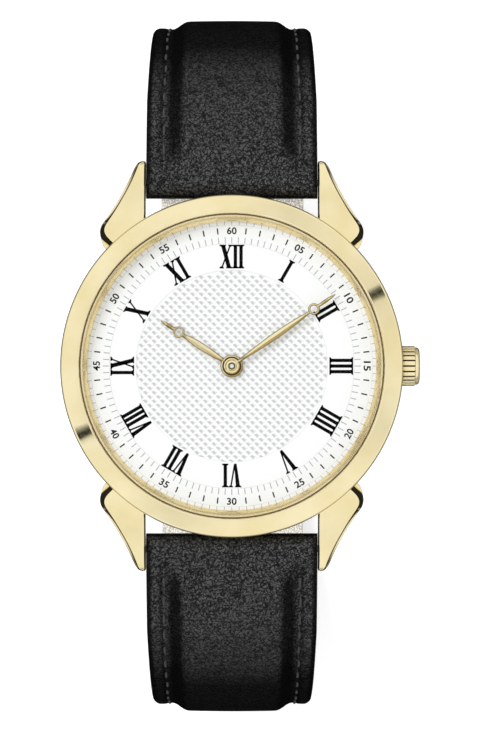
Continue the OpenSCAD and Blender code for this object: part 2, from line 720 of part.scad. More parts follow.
module buckle_tongue() {
  // [y, bottom, top]
  stations = [[0, -0.2, 1], [2.5, 0.2, 1.02], [6, 0.7, 1.5], [7.6, 1, 1.8], [9.8, 0.9, 1.6]];
  color(gold) at_buckle() difference() {
    union() {
      x_rod(1.05, -0.95, 0.95);
      loft([for (q = stations) let (y = q[0], low = q[1], top = q[2])
        [[-0.9, y, low], [0.9, y, low], [0.9, y, top - 0.15], [0.7, y, top], [-0.7, y, top],
         [-0.9, y, top - 0.15]]]);
    }
    x_rod(0.65, -12, 12);
  }
}

// ---------- spring bars ----------
// Each bar is [half length, radius] of its tube
case_bar = [9.4, 0.75];
buckle_bar = [8.9, 0.6];
module bar_tube(bar) {
  l = bar[0];
  r = bar[1];
  difference() {
    x_rod(r, -l, l);
    x_rod(r - 0.2, -l + 0.3, l - 0.3);
    x_rod(r - 0.32, -l - 1, l + 1);
  }
}
// Tip at the +X end
module bar_tip(bar) {
  l = bar[0];
  r = bar[1];
  union() {
    x_rod(r - 0.25, l - 0.9, l - 0.35, 32);
    x_rod(r - 0.36, l - 0.5, l + 1.35, 32);
  }
}
module bar_tip_left(bar) { mirror([1, 0, 0]) bar_tip(bar); }
module coil_wire(half_length, coil_r) {
  turns = 7;
  steps = 12;
  wire_r = 0.07;
  loft([for (i = [0:turns * steps])
    let (a = i * 360 / steps, x = -half_length + 2 * half_length * i / (turns * steps))
    [for (j = [0:4]) let (b = -j * 72, q = coil_r + wire_r * cos(b))
      [x + wire_r * sin(b), q * cos(a), q * sin(a)]]]);
}
module bar_tubes() { color(steel) for (side = [-1, 1]) at_bar(side) bar_tube(case_bar); }
module bar_springs() { color(steel) for (side = [-1, 1]) at_bar(side) coil_wire(7, 0.4); }
module bar_12_tip_r() { color(steel) at_bar(1) bar_tip(case_bar); }
module bar_12_tip_l() { color(steel) at_bar(1) bar_tip_left(case_bar); }
module bar_6_tip_r() { color(steel) at_bar(-1) bar_tip(case_bar); }
module bar_6_tip_l() { color(steel) at_bar(-1) bar_tip_left(case_bar); }
module bar_b_tube() { color(steel) at_buckle() bar_tube(buckle_bar); }
module bar_b_spring() { color(steel) at_buckle() coil_wire(6.5, 0.28); }
module bar_b_tip_r() { color(steel) at_buckle() bar_tip(buckle_bar); }
module bar_b_tip_l() { color(steel) at_buckle() bar_tip_left(buckle_bar); }

function on(name) = node == "all" || node == name;
if (on("case_middle")) case_middle();
if (on("bezel")) bezel();
if (on("crystal")) crystal();
if (on("crystal_gasket")) crystal_gasket();
if (on("rehaut_ring")) rehaut_ring();
if (on("caseback")) caseback();
if (on("caseback_gasket")) caseback_gasket();
if (on("crown")) crown();
if (on("crown_gasket")) crown_gasket();
if (on("crown_tube")) crown_tube();
if (on("winding_stem")) winding_stem();
if (on("dial")) dial();
if (on("hour_hand")) hour_hand();
if (on("minute_hand")) minute_hand();
if (on("dial_washer")) dial_washer();
if (on("main_plate")) main_plate();
if (on("train_bridge")) train_bridge();
if (on("bridge_screws")) bridge_screws();
if (on("movement_holder")) movement_holder();
if (on("cannon_pinion")) cannon_pinion();
if (on("centre_wheel")) centre_wheel();
if (on("hour_wheel")) hour_wheel();
if (on("minute_wheel")) minute_wheel();
if (on("third_wheel")) third_wheel();
if (on("intermediate_wheel")) intermediate_wheel();
if (on("rotor")) rotor();
if (on("stator")) stator();
if (on("coil")) coil();
if (on("coil_core")) coil_core();
if (on("circuit_board")) circuit_board();
if (on("quartz_crystal")) quartz_crystal();
if (on("chip")) chip();
if (on("battery")) battery();
if (on("battery_clamp")) battery_clamp();
if (on("battery_insulator")) battery_insulator();
if (on("setting_lever")) setting_lever();
if (on("yoke")) yoke();
if (on("sliding_pinion")) sliding_pinion();
if (on("lever_cover")) lever_cover();
if (on("strap_12_upper")) strap_12_upper();
if (on("strap_12_filler")) strap_12_filler();
if (on("strap_12_lining")) strap_12_lining();
if (on("strap_6_upper")) strap_6_upper();
if (on("strap_6_filler")) strap_6_filler();
if (on("strap_6_lining")) strap_6_lining();
if (on("fixed_keeper")) fixed_keeper();
if (on("free_keeper")) free_keeper();
if (on("buckle_frame")) buckle_frame();
if (on("buckle_tongue")) buckle_tongue();
if (on("bar_tubes")) bar_tubes();
if (on("bar_springs")) bar_springs();
if (on("bar_12_tip_r")) bar_12_tip_r();
if (on("bar_12_tip_l")) bar_12_tip_l();
if (on("bar_6_tip_r")) bar_6_tip_r();
if (on("bar_6_tip_l")) bar_6_tip_l();
if (on("bar_b_tube")) bar_b_tube();
if (on("bar_b_spring")) bar_b_spring();
if (on("bar_b_tip_r")) bar_b_tip_r();
if (on("bar_b_tip_l")) bar_b_tip_l();
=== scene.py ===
"""A round gold dress watch on a black leather strap, resting on a pale floor.

The dial faces +Z, 12 o'clock points to +Y and the crown to +X. The case axis is the Z axis.
Sizes are in millimetres and become metres through MM. The short half of the strap leaves
the case on the +Y side, the long half on the -Y side.
"""
import bpy
import bmesh
import random
from math import atan2, copysign, cos, exp, hypot, pi, radians, sin, sqrt, tan
from mathutils import Vector, Matrix


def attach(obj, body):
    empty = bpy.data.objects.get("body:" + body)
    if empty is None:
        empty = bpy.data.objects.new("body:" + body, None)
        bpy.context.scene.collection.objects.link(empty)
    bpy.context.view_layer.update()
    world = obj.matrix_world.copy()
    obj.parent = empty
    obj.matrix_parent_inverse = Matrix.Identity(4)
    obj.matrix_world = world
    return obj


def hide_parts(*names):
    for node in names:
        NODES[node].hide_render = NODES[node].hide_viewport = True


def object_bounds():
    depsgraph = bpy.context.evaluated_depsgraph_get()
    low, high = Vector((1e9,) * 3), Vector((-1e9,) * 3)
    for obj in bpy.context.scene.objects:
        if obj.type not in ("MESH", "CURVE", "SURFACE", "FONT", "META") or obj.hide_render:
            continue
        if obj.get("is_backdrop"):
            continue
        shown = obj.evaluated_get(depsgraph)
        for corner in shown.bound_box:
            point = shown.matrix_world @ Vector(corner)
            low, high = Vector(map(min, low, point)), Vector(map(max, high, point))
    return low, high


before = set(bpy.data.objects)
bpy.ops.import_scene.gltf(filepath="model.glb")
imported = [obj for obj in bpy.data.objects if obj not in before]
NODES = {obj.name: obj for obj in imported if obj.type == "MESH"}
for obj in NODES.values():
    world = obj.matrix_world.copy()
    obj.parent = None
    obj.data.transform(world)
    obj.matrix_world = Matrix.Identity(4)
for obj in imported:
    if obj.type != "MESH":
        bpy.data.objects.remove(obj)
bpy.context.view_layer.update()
rnd = random.Random(7)
MM = 0.001

# driving sizes shared by several pieces
SEG = 256                     # segments of the large turned rings
BAND_BASE, BAND_TOP = 0.9, 5.2
GLASS_BASE = 5.75
DIAL_TOP = 4.4
CROWN_Z = 2.7                 # height of the crown axis
BAR_Y, BAR_Z = 21.4, 2.4      # spring bar between the lugs


# ---------------------------------------------------------------- helpers
def lerp_table(t, table):
    """Straight-line reading of a table of (position, value)."""
    if t <= table[0][0]:
        return table[0][1]
    for (a, value_a), (b, value_b) in zip(table, table[1:]):
        if t <= b:
            return value_a + (value_b - value_a) * (t - a) / (b - a)
    return table[-1][1]


def smooth(t):
    t = max(0.0, min(1.0, t))
    return t * t * (3 - 2 * t)


def left_normals(points, closed=False):
    """Unit normals on the left of a flat line's direction of travel."""
    n = len(points)
    normals = []
    for i in range(n):
        a = points[i - 1] if closed else points[max(0, i - 1)]
        b = points[(i + 1) % n] if closed else points[min(n - 1, i + 1)]
        dx, dy = b[0] - a[0], b[1] - a[1]
        length = hypot(dx, dy)
        normals.append((-dy / length, dx / length))
    return normals


def turned(points, angle, dx=0, dy=0):
    """Flat points moved by (dx, dy), then turned about the origin."""
    c, s = cos(angle), sin(angle)
    return [((x + dx) * c - (y + dy) * s, (x + dx) * s + (y + dy) * c) for x, y in points]


def add_object(name, data):
    obj = bpy.data.objects.new(name, data)
    bpy.context.scene.collection.objects.link(obj)
    return obj


def new_mesh(name, verts, faces):
    """Mesh from millimetre points, with its faces turned outward."""
    mesh = bpy.data.meshes.new(name)
    mesh.from_pydata([Vector(v) * MM for v in verts], [], faces)
    mesh.validate()
    bm = bmesh.new()
    bm.from_mesh(mesh)
    bmesh.ops.recalc_face_normals(bm, faces=bm.faces)
    bm.to_mesh(mesh)
    bm.free()
    return mesh


class Geo:
    """Gathers vertices and faces of several shells."""

    def __init__(self):
        self.v, self.f = [], []

    def add(self, verts, faces):
        n = len(self.v)
        self.v += [tuple(p) for p in verts]
        self.f += [tuple(i + n for i in f) for f in faces]

    def lathe(self, profile, seg=SEG, axis="z", at=(0, 0, 0)):
        """Closed profile of (radius, height) turned about an axis."""
        rings, verts, faces = [], [], []
        for r, z in profile:
            if r < 1e-9:
                rings.append([len(verts)])
                verts.append((0, 0, z))
            else:
                rings.append(list(range(len(verts), len(verts) + seg)))
                verts += [(r * cos(2 * pi * i / seg), r * sin(2 * pi * i / seg), z)
                          for i in range(seg)]
        for a, b in zip(rings, rings[1:] + rings[:1]):
            if len(a) == 1 and len(b) == 1:
                continue
            for i in range(seg):
                j = (i + 1) % seg
                if len(a) == 1:
                    faces.append((a[0], b[i], b[j]))
                elif len(b) == 1:
                    faces.append((a[i], a[j], b[0]))
                else:
                    faces.append((a[i], a[j], b[j], b[i]))
        if axis == "x":
            verts = [(z, x, y) for x, y, z in verts]
        self.add([(x + at[0], y + at[1], z + at[2]) for x, y, z in verts], faces)
        return self

    def loft(self, sections, closed=False, caps=True):
        """Skin over sections with equal point counts."""
        n, m = len(sections[0]), len(sections)
        faces = []
        for k in range(m if closed else m - 1):
            k2 = (k + 1) % m
            for i in range(n):
                j = (i + 1) % n
                faces.append((k * n + i, k * n + j, k2 * n + j, k2 * n + i))
        if not closed and caps:
            faces.append(tuple(reversed(range(n))))
            faces.append(tuple((m - 1) * n + i for i in range(n)))
        self.add([p for section in sections for p in section], faces)
        return self

    def prism(self, points, z0, z1):
        n = len(points)
        sides = [(i, (i + 1) % n, n + (i + 1) % n, n + i) for i in range(n)]
        self.add([(x, y, z0) for x, y in points] + [(x, y, z1) for x, y in points],
                 [tuple(reversed(range(n))), tuple(range(n, 2 * n))] + sides)

    def build(self, name, material, body, slot, sharp=None):
        """Object riding on a body; smooth up to the sharp angle, or flat without one."""
        mesh = new_mesh(name, self.v, self.f)
        obj = add_object(name, mesh)
        mesh.materials.append(material)
        if sharp is not None:
            for p in mesh.polygons:
                p.use_smooth = True
            mesh.set_sharp_from_angle(angle=radians(sharp))
        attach(obj, body)
        return obj


def cutter(radius, start, end, axis="x", at=(0, 0, 0), seg=40):
    """Round rod for cutting, from start to end along its axis."""
    geo = Geo().lathe([(0, start), (radius, start), (radius, end), (0, end)], seg, axis)
    mesh = new_mesh("cutter", geo.v, geo.f)
    mesh.transform(Matrix.Translation(Vector(at) * MM))
    return add_object("cutter", mesh)


def cut_away(obj, cutters, sharp):
    """Cuts the cutters out of an object and keeps only the finished mesh."""
    for c in cutters:
        modifier = obj.modifiers.new("cut", "BOOLEAN")
        modifier.operation = "DIFFERENCE"
        modifier.solver = "EXACT"
        modifier.object = c
    bpy.context.view_layer.update()
    depsgraph = bpy.context.evaluated_depsgraph_get()
    mesh = bpy.data.meshes.new_from_object(obj.evaluated_get(depsgraph))
    obj.modifiers.clear()
    old = obj.data
    obj.data = mesh
    bpy.data.meshes.remove(old)
    for c in cutters:
        cutter_mesh = c.data
        bpy.data.objects.remove(c)
        bpy.data.meshes.remove(cutter_mesh)
    bm = bmesh.new()
    bm.from_mesh(mesh)
    bmesh.ops.remove_doubles(bm, verts=bm.verts, dist=1e-7)
    bm.to_mesh(mesh)
    bm.free()
    mesh.set_sharp_from_angle(angle=radians(sharp))


# ---------------------------------------------------------------- shader helpers
def tint(color, gain, lift=0):
    return tuple(c * gain + lift for c in color)


class Tree:
    """Short calls for the nodes of a material or world."""

    def __init__(self, node_tree):
        self.tree = node_tree

    def node(self, kind):
        return self.tree.nodes.new("ShaderNode" + kind)

    def link(self, a, b):
        self.tree.links.new(a, b)

    def feed(self, socket, value):
        """Sets a plain value or links an output."""
        if isinstance(value, (int, float, tuple)):
            socket.default_value = value
        else:
            self.link(value, socket)

    def ramp(self, fac, stops):
        """Colour ramp of (position, grey or RGB)."""
        node = self.node("ValToRGB")
        elements = node.color_ramp.elements
        while len(elements) < len(stops):
            elements.new(0.5)
        for element, (position, c) in zip(elements, stops):
            element.position = position
            element.color = (c, c, c, 1) if isinstance(c, (int, float)) else (*c, 1)
        self.link(fac, node.inputs["Fac"])
        return node.outputs["Color"]

    def remap(self, value, span, to):
        node = self.node("MapRange")
        for i, x in enumerate((*span, *to)):
            node.inputs[1 + i].default_value = x
        self.link(value, node.inputs[0])
        return node.outputs[0]

    def math(self, operation, *values):
        node = self.node("Math")
        node.operation = operation
        for socket, value in zip(node.inputs, values):
            self.feed(socket, value)
        return node.outputs[0]

    def vector(self, operation, *values):
        node = self.node("VectorMath")
        node.operation = operation
        for socket, value in zip(node.inputs, values):
            self.feed(socket, value)
        return node

    def split(self, vector):
        node = self.node("SeparateXYZ")
        self.link(vector, node.inputs[0])
        return node.outputs

    def mix(self, fac, a, b, blend="MIX"):
        node = self.node("Mix")
        node.data_type = "RGBA"
        node.blend_type = blend
        self.feed(node.inputs[0], fac)
        for i, x in ((6, a), (7, b)):
            self.feed(node.inputs[i], (*x, 1) if isinstance(x, tuple) else x)
        return node.outputs[2]


class Mat(Tree):
    """A new material, textured in object coordinates."""

    def __init__(self, name):
        self.material = bpy.data.materials.new(name)
        self.material.use_nodes = True
        super().__init__(self.material.node_tree)
        self.inputs = self.tree.nodes["Principled BSDF"].inputs
        self.position = self.node("TexCoord").outputs["Object"]

    def set(self, **values):
        for name, value in values.items():
            self.inputs[name.replace("_", " ")].default_value = value

    def drive(self, name, output):
        self.link(output, self.inputs[name])

    def noise(self, scale, detail=4.0, rough=0.5, vector=None, output="Fac"):
        node = self.node("TexNoise")
        node.inputs["Scale"].default_value = scale
        node.inputs["Detail"].default_value = detail
        node.inputs["Roughness"].default_value = rough
        self.link(vector or self.position, node.inputs["Vector"])
        return node.outputs[output]

    def cells(self, scale, vector):
        """Distance to the nearest cell edge."""
        node = self.node("TexVoronoi")
        node.feature = "DISTANCE_TO_EDGE"
        node.inputs["Scale"].default_value = scale
        node.inputs["Randomness"].default_value = 1.0
        self.link(vector, node.inputs["Vector"])
        return node.outputs["Distance"]

    def bump(self, height, strength, distance, below=None):
        node = self.node("Bump")
        node.inputs["Strength"].default_value = strength
        node.inputs["Distance"].default_value = distance
        self.link(height, node.inputs["Height"])
        if below:
            self.link(below, node.inputs["Normal"])
        return node.outputs["Normal"]

    def facing(self, direction):
        """How far the flat face normal leans toward a direction."""
        normal = self.node("NewGeometry").outputs["True Normal"]
        return self.vector("DOT_PRODUCT", normal, direction).outputs["Value"]


# ---------------------------------------------------------------- materials
def gold_surface(m, rough, vary):
    """Fine roughness and a faint waviness."""
    grain = m.noise(scale=2600, detail=5, rough=0.7)
    m.drive("Roughness", m.remap(grain, span=(0.3, 0.7), to=(rough - 0.02, rough + vary)))
    waves = m.noise(scale=900, detail=2)
    m.drive("Normal", m.bump(waves, strength=0.03, distance=0.00004))


def gold_nodes(name, base, rough, vary=0.05, metallic=1.0):
    m = Mat(name)
    m.set(Metallic=metallic, Roughness=rough)
    patches = m.remap(m.noise(scale=180, detail=3), span=(0.35, 0.65), to=(0, 1))
    dark = tuple(c * k for c, k in zip(base, (0.93, 0.9, 0.8)))
    m.drive("Base Color", m.mix(patches, base, dark))
    gold_surface(m, rough, vary)
    return m


def gold(name, base, rough, **options):
    return gold_nodes(name, base, rough, **options).material


def hand_gold():
    """Gold with painted shade: darker on the facets turned toward +X -Y."""
    m = gold_nodes("gold_hands", (0.97, 0.85, 0.54), rough=0.12)
    plain_color = m.inputs["Base Color"].links[0].from_socket
    # painted shade: facets turned toward +X -Y are mixed toward deep gold
    shade = m.remap(m.facing((0.62, -0.78, 0.0)), span=(-0.05, 0.25), to=(0.0, 1.0))
    m.drive("Base Color", m.mix(shade, plain_color, (0.50, 0.36, 0.13)))
    return m.material


def steel(name, base, rough=0.28, ring=False, scale=9000):
    """Brushed metal: straight strokes along X, or rings about Z."""
    m = Mat(name)
    m.set(Metallic=1.0)
    if ring:
        axes = m.split(m.position)
        squares = m.math("ADD", m.math("POWER", axes[0], 2.0), m.math("POWER", axes[1], 2.0))
        combine = m.node("CombineXYZ")
        m.link(m.math("SQRT", squares), combine.inputs[0])
        vector = combine.outputs[0]
    else:
        mapping = m.node("Mapping")
        mapping.inputs["Scale"].default_value = (0.06, 1, 1)
        m.link(m.position, mapping.inputs[0])
        vector = mapping.outputs[0]
    strokes = m.noise(scale=scale, detail=3, rough=0.6, vector=vector)
    m.drive("Base Color", m.mix(strokes, tint(base, 0.8), base))
    m.drive("Roughness", m.remap(strokes, span=(0.3, 0.7), to=(rough - 0.08, rough + 0.1)))
    m.drive("Normal", m.bump(strokes, strength=0.12, distance=0.00004))
    return m.material


def painted_sheen_tops(m, base, grain, sheen_strength, warped, color, normal):
    """Painted sheen: lighter colour and more shine on the grain tops where the leather lies
    flat; painted shade darkens the slopes, and the grain grooves stay dark.
    """
    # painted light: how far the leather faces up, and how little it faces sideways, sets the
    # sheen
    axes = m.split(m.node("NewGeometry").outputs["Normal"])
    upward = m.ramp(axes[2], [(0.28, 0.06), (0.50, 0.10), (0.64, 0.72), (0.78, 1.0)])
    sideways = m.ramp(m.math("ABSOLUTE", axes[0]), [(0.06, 1.0), (0.18, 0.72), (0.42, 0.16)])
    light = m.math("MULTIPLY", upward, sideways)

    # wandering wrinkles: thin dark lines where a smooth field crosses its middle value
    def crossing(field, middle):
        return m.math("ABSOLUTE", m.math("SUBTRACT", field, middle))

    coarse = crossing(m.noise(scale=2300, detail=1, vector=warped), 0.5)
    fine = crossing(m.noise(scale=3600, detail=1), 0.47)
    peaks = m.math("MULTIPLY", m.ramp(coarse, [(0.0, 0.0), (0.03, 0.08), (0.11, 1.0)]),
                   m.ramp(fine, [(0.0, 0.04), (0.09, 1.0)]))
    normal = m.bump(peaks, strength=0.6 * grain, distance=0.00008, below=normal)
    shine = m.math("ADD", 0.12, m.math("MULTIPLY", peaks, sheen_strength))
    m.drive("Specular IOR Level", m.math("MULTIPLY", light, shine))
    lit = m.math("MULTIPLY", m.math("MULTIPLY", light, peaks), 0.95)
    # the painted sheen colours take the place of the plain one
    return m.mix(lit, tint(base, 0.4), tint(base, 3, 0.021)), normal


def leather(name, base, rough, grain, cell, sheen_strength=0.0):
    """Pebbled grain in two sizes, with pores; with a sheen strength, painted sheen and shade
    by facing, else a slow change of tone.
    """
    m = Mat(name)
    warp = m.noise(scale=500, detail=2, output="Color")
    warped = m.vector("MULTIPLY_ADD", warp, (0.0006, 0.0006, 0.0006), m.position).outputs[0]
    large = m.cells(cell, warped)
    small = m.cells(cell * 2.3, warped)
    large_height = m.ramp(large, [(0.0, 0.0), (0.22, 0.85), (0.6, 1.0)])
    small_height = m.ramp(small, [(0.0, 0.0), (0.25, 1.0)])
    height = m.math("ADD", m.math("MULTIPLY", large_height, 0.7),
                    m.math("MULTIPLY", small_height, 0.3))
    normal = m.bump(height, strength=0.7 * grain, distance=0.00010)
    pores = m.noise(scale=9000, rough=0.6)
    normal = m.bump(pores, strength=0.3 * grain, distance=0.00003, below=normal)
    if sheen_strength:
        color, normal = painted_sheen_tops(m, base, grain, sheen_strength, warped, None, normal)
    else:
        tone = m.remap(m.noise(scale=90, rough=0.6), span=(0.3, 0.7), to=(0, 1))
        color = m.mix(tone, base, tint(base, 1.25, 0.001))
        color = m.mix(m.ramp(large, [(0.0, 1.0), (0.16, 0.0)]), color, tint(base, 0.45))
    m.drive("Normal", normal)
    m.drive("Base Color", color)
    m.drive("Roughness", m.remap(height, span=(0, 1), to=(rough + 0.14, rough - 0.03)))
    m.set(Coat_Roughness=0.35)
    return m.material


def plain(name, base, rough=0.5, scale=1500, bump=0.1, spec=0.5, vary=0.12):
    """Lightly mottled surface without metal."""
    m = Mat(name)
    mottle = m.noise(scale=scale, detail=5, rough=0.6)
    bright = tuple(min(1, c * (1 + vary)) for c in base)
    m.drive("Base Color", m.mix(mottle, tint(base, 1 - vary), bright))
    m.drive("Roughness", m.remap(mottle, span=(0.3, 0.7), to=(rough - 0.05, rough + 0.06)))
    m.drive("Normal", m.bump(mottle, strength=bump, distance=0.00003))
    m.set(Specular_IOR_Level=spec)
    return m.material


def ink(name, base, spec, rough=0.7, vary=0.12):
    return plain(name, base, rough=rough, scale=8000, bump=0.05, spec=spec, vary=vary)


def glass_material():
    """Clear pane with a weak mirror at grazing angles."""
    m = Mat("mineral_glass")
    clear = m.node("BsdfTransparent")
    clear.inputs["Color"].default_value = (0.985, 0.99, 0.99, 1)
    mirror = m.node("BsdfGlossy")
    mirror.inputs["Roughness"].default_value = 0.03
    tone = m.ramp(m.noise(scale=60, detail=2), [(0.3, (0.97, 0.98, 1.0)), (0.7, (1, 1, 1))])
    m.link(tone, mirror.inputs["Color"])
    weight = m.node("LayerWeight")
    weight.inputs["Blend"].default_value = 0.18
    mix = m.node("MixShader")
    m.link(m.math("MULTIPLY", weight.outputs["Fresnel"], 0.12), mix.inputs[0])
    m.link(clear.outputs[0], mix.inputs[1])
    m.link(mirror.outputs[0], mix.inputs[2])
    m.link(mix.outputs[0], m.tree.nodes["Material Output"].inputs["Surface"])
    return m.material


def dial_lacquer():
    m = Mat("dial_white_lacquer")
    grain = m.noise(scale=4000, rough=0.6)
    m.drive("Base Color", m.mix(grain, (0.90, 0.90, 0.895), (0.95, 0.95, 0.945)))
    m.drive("Roughness", m.remap(grain, span=(0.3, 0.7), to=(0.38, 0.5)))
    m.drive("Normal", m.bump(grain, strength=0.05, distance=0.00001))
    return m.material


def engraved_silver():
    """Silvered engraving with painted shade: darker on the flanks that face -X -Y."""
    m = Mat("dial_engraved")
    # painted shade: flanks that face -X -Y are mixed toward grey
    shade = m.remap(m.facing((-0.66, -0.75, 0.0)), span=(-0.1, 0.16), to=(0, 1))
    grain = m.noise(scale=5000, rough=0.6)
    color = m.mix(shade, (0.97, 0.97, 0.97), (0.57, 0.57, 0.575))
    m.drive("Base Color", m.mix(m.math("MULTIPLY", grain, 0.08), color, (0.6, 0.6, 0.61)))
    m.set(Roughness=0.45)
    return m.material


def cannon_gold():
    """Gold painted dark as the shade in the pinion's end, with a bright tip inside a small
    radius about the axis (metres).
    """
    m = Mat("cannon_painted_shade")
    m.set(Metallic=1.0, Roughness=0.3)
    position = m.node("TexCoord").outputs["Object"]
    flat = m.vector("MULTIPLY", position, (1, 1, 0)).outputs[0]
    radius = m.vector("LENGTH", flat).outputs["Value"]
    tip = m.remap(radius, span=(0.00022, 0.00026), to=(1.0, 0.0))
    # painted shade: dark gold outside the tip
    m.drive("Base Color", m.mix(tip, (0.10, 0.08, 0.05), (0.92, 0.92, 0.9)))
    gold_surface(m, rough=0.3, vary=0.05)
    return m.material


GOLD = gold("gold_polished", (0.96, 0.85, 0.54), rough=0.045, vary=0.03)
GOLD_LUG = gold("gold_polished_lug", (0.96, 0.845, 0.53), rough=0.06, vary=0.04)
GOLD_SATIN = gold("gold_satin", (0.90, 0.75, 0.43), rough=0.26, vary=0.06)
GOLD_CROWN = gold("gold_crown", (0.98, 0.86, 0.54), rough=0.16, vary=0.04, metallic=0.75)
GROOVE_SHADOW = gold("gold_groove_shadow", (0.02, 0.015, 0.008), rough=0.5)
# painted shade: dark gold laid on the cut edges and bevels of the hands
HAND_EDGE_SHADE = gold("gold_hand_edge_painted_shade", (0.13, 0.085, 0.03), rough=0.3)
HAND_GOLD = hand_gold()
STEEL = steel("steel_turned", (0.62, 0.62, 0.63))
STEEL_CAP = steel("steel_cap", (0.93, 0.93, 0.92), rough=0.3)
BACK = steel("steel_back", (0.62, 0.62, 0.62), rough=0.3, ring=True)
BRASS = steel("brass_satin", (0.75, 0.58, 0.28), rough=0.3)
RUBBER = plain("rubber_black", (0.012, 0.012, 0.012), rough=0.6, scale=3000, bump=0.2)
AMBER = plain("nylon_amber", (0.16, 0.085, 0.022), rough=0.35, scale=3000)
PLASTIC = plain("plastic_white", (0.78, 0.78, 0.75))
BOARD = plain("board_green", (0.02, 0.14, 0.06), rough=0.4)
CHIP = plain("chip_black", (0.02, 0.02, 0.02))
FILM = plain("film_amber", (0.6, 0.38, 0.08), rough=0.25)
COPPER = steel("copper_wire", (0.72, 0.32, 0.14), rough=0.35, scale=5000)
BLACK = (0.007, 0.007, 0.0075)
# the strap and keeper leathers get painted sheen and shade by how they face
LEATHER = leather("leather_black", BLACK, rough=0.40, grain=1.0, cell=2900, sheen_strength=1.15)
LEATHER_KEEPER = leather("leather_black_keeper", BLACK, rough=0.38, grain=0.8, cell=2900,
                         sheen_strength=0.7)
LINING = leather("leather_lining", (0.88, 0.84, 0.77), rough=0.6, grain=0.3, cell=3000)
EDGE = plain("leather_edge_paint", (0.009, 0.009, 0.009), rough=0.38, scale=2500, bump=0.3)
THREAD = plain("thread_grey", (0.045, 0.045, 0.048), rough=0.7, scale=7000, bump=0.6, vary=0.5)
GLASS = glass_material()
DIAL = dial_lacquer()
ENGRAVED = engraved_silver()
INK = ink("ink_black", (0.0015, 0.0015, 0.0015), spec=0.05, rough=0.8)
INK_GREY = ink("ink_grey", (0.44, 0.44, 0.45), spec=0.2)
INK_FAINT = ink("ink_faint", (0.76, 0.76, 0.77), spec=0.2, vary=0.04)
INK_FIGURES = ink("ink_dark_grey", (0.008, 0.008, 0.008), spec=0.1)


# ---------------------------------------------------------------- case
def bezel():
    # (radius, height): seat and rounded outer edge
    profile = [(17.75, GLASS_BASE), (17.5, GLASS_BASE), (17.5, BAND_TOP), (19.55, BAND_TOP),
               (19.8, 5.26), (19.95, 5.42), (20.0, 5.60), (20.0, 5.72), (19.975, 5.82),
               (19.92, 5.92), (19.85, 6.0)]
    # polished cone, very slightly crowned
    steps = 10
    for i in range(1, steps + 1):
        t = i / steps
        profile.append((19.85 - 1.81 * t, 6.0 + 0.83 * t + 0.02 * sin(pi * t)))
    # rounded inner lip
    profile += [(17.97, 6.85), (17.9, 6.855), (17.84, 6.82), (17.79, 6.76), (17.76, 6.66),
                (17.75, 6.5)]
    obj = Geo().lathe(profile).build("bezel_ring", GOLD, "case", "polished_gold", sharp=50)
    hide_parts("bezel")


# Outline of one lug's flat top, clockwise from the tip seen from +Z:
# x, y, total overhang, width of the steep band, tilt of the flank beyond (degrees)
LUG = [
    (10.25, 23.80, 0.17, 0.15, 40), (10.45, 23.83, 0.17, 0.14, 40),
    (10.72, 23.78, 0.17, 0.13, 40), (10.93, 23.55, 0.21, 0.13, 36),
    (11.10, 23.12, 0.30, 0.13, 32), (11.5, 22.1, 0.34, 0.13, 30),
    (11.9, 21.2, 0.36, 0.13, 30), (12.4, 20.2, 0.36, 0.13, 30),
    (12.9, 19.3, 0.36, 0.14, 30), (13.35, 18.52, 0.36, 0.15, 30),
    (13.8, 17.8, 0.37, 0.18, 30), (14.3, 17.05, 0.40, 0.25, 30),
    (14.68, 16.45, 0.45, 0.36, 28), (14.82, 16.1, 0.50, 0.45, 24),
    (14.85, 15.8, 0.55, 0.52, 18), (14.78, 15.5, 0.64, 0.58, 12),
    (14.58, 15.15, 0.82, 0.64, 10), (14.28, 14.82, 1.08, 0.68, 10),
    (13.9, 14.45, 1.14, 0.68, 10), (13.3, 13.9, 1.10, 0.6, 10),
    (12.5, 13.3, 1.0, 0.4, 10), (11.5, 12.9, 0.6, 0.3, 20),
]
LUG_BACK = len(LUG)           # first point of the straight side that faces the strap
LUG += [(10.25, y, 0.17, 0.17, 30) for y in (12.8, 14.0, 15.5, 17.0, 18.5, 20.0, 21.5, 22.8)]
LUG_STEPS = 4                 # points per span of the outline
LUG_MIN_X = 10.08             # the lugs stay outside the strap
LUG_MIN_RADIUS = 17.9         # and inside the wall of the band at their root

# outside of the case band: radius, height
BAND = [(17.5, BAND_BASE), (18.72, BAND_BASE), (18.95, 1.02), (19.1, 1.3), (19.2, 1.8),
        (19.24, 2.6), (19.24, 3.6), (19.2, 4.5), (19.12, 5.05), (19.0, BAND_TOP),
        (17.5, BAND_TOP)]


def refine(outline, steps):
    """Catmull-Rom points between the corners of a closed outline."""
    n = len(outline)
    out = []
    for i in range(n):
        corners = [outline[(i + d) % n] for d in (-1, 0, 1, 2)]
        for step in range(steps):
            t = step / steps
            out.append(tuple(
                0.5 * (2 * b + (c - a) * t + (2 * a - 5 * b + 4 * c - d) * t * t
                       + (3 * b - a - 3 * c + d) * t ** 3)
                for a, b, c, d in zip(*corners)))
    return out


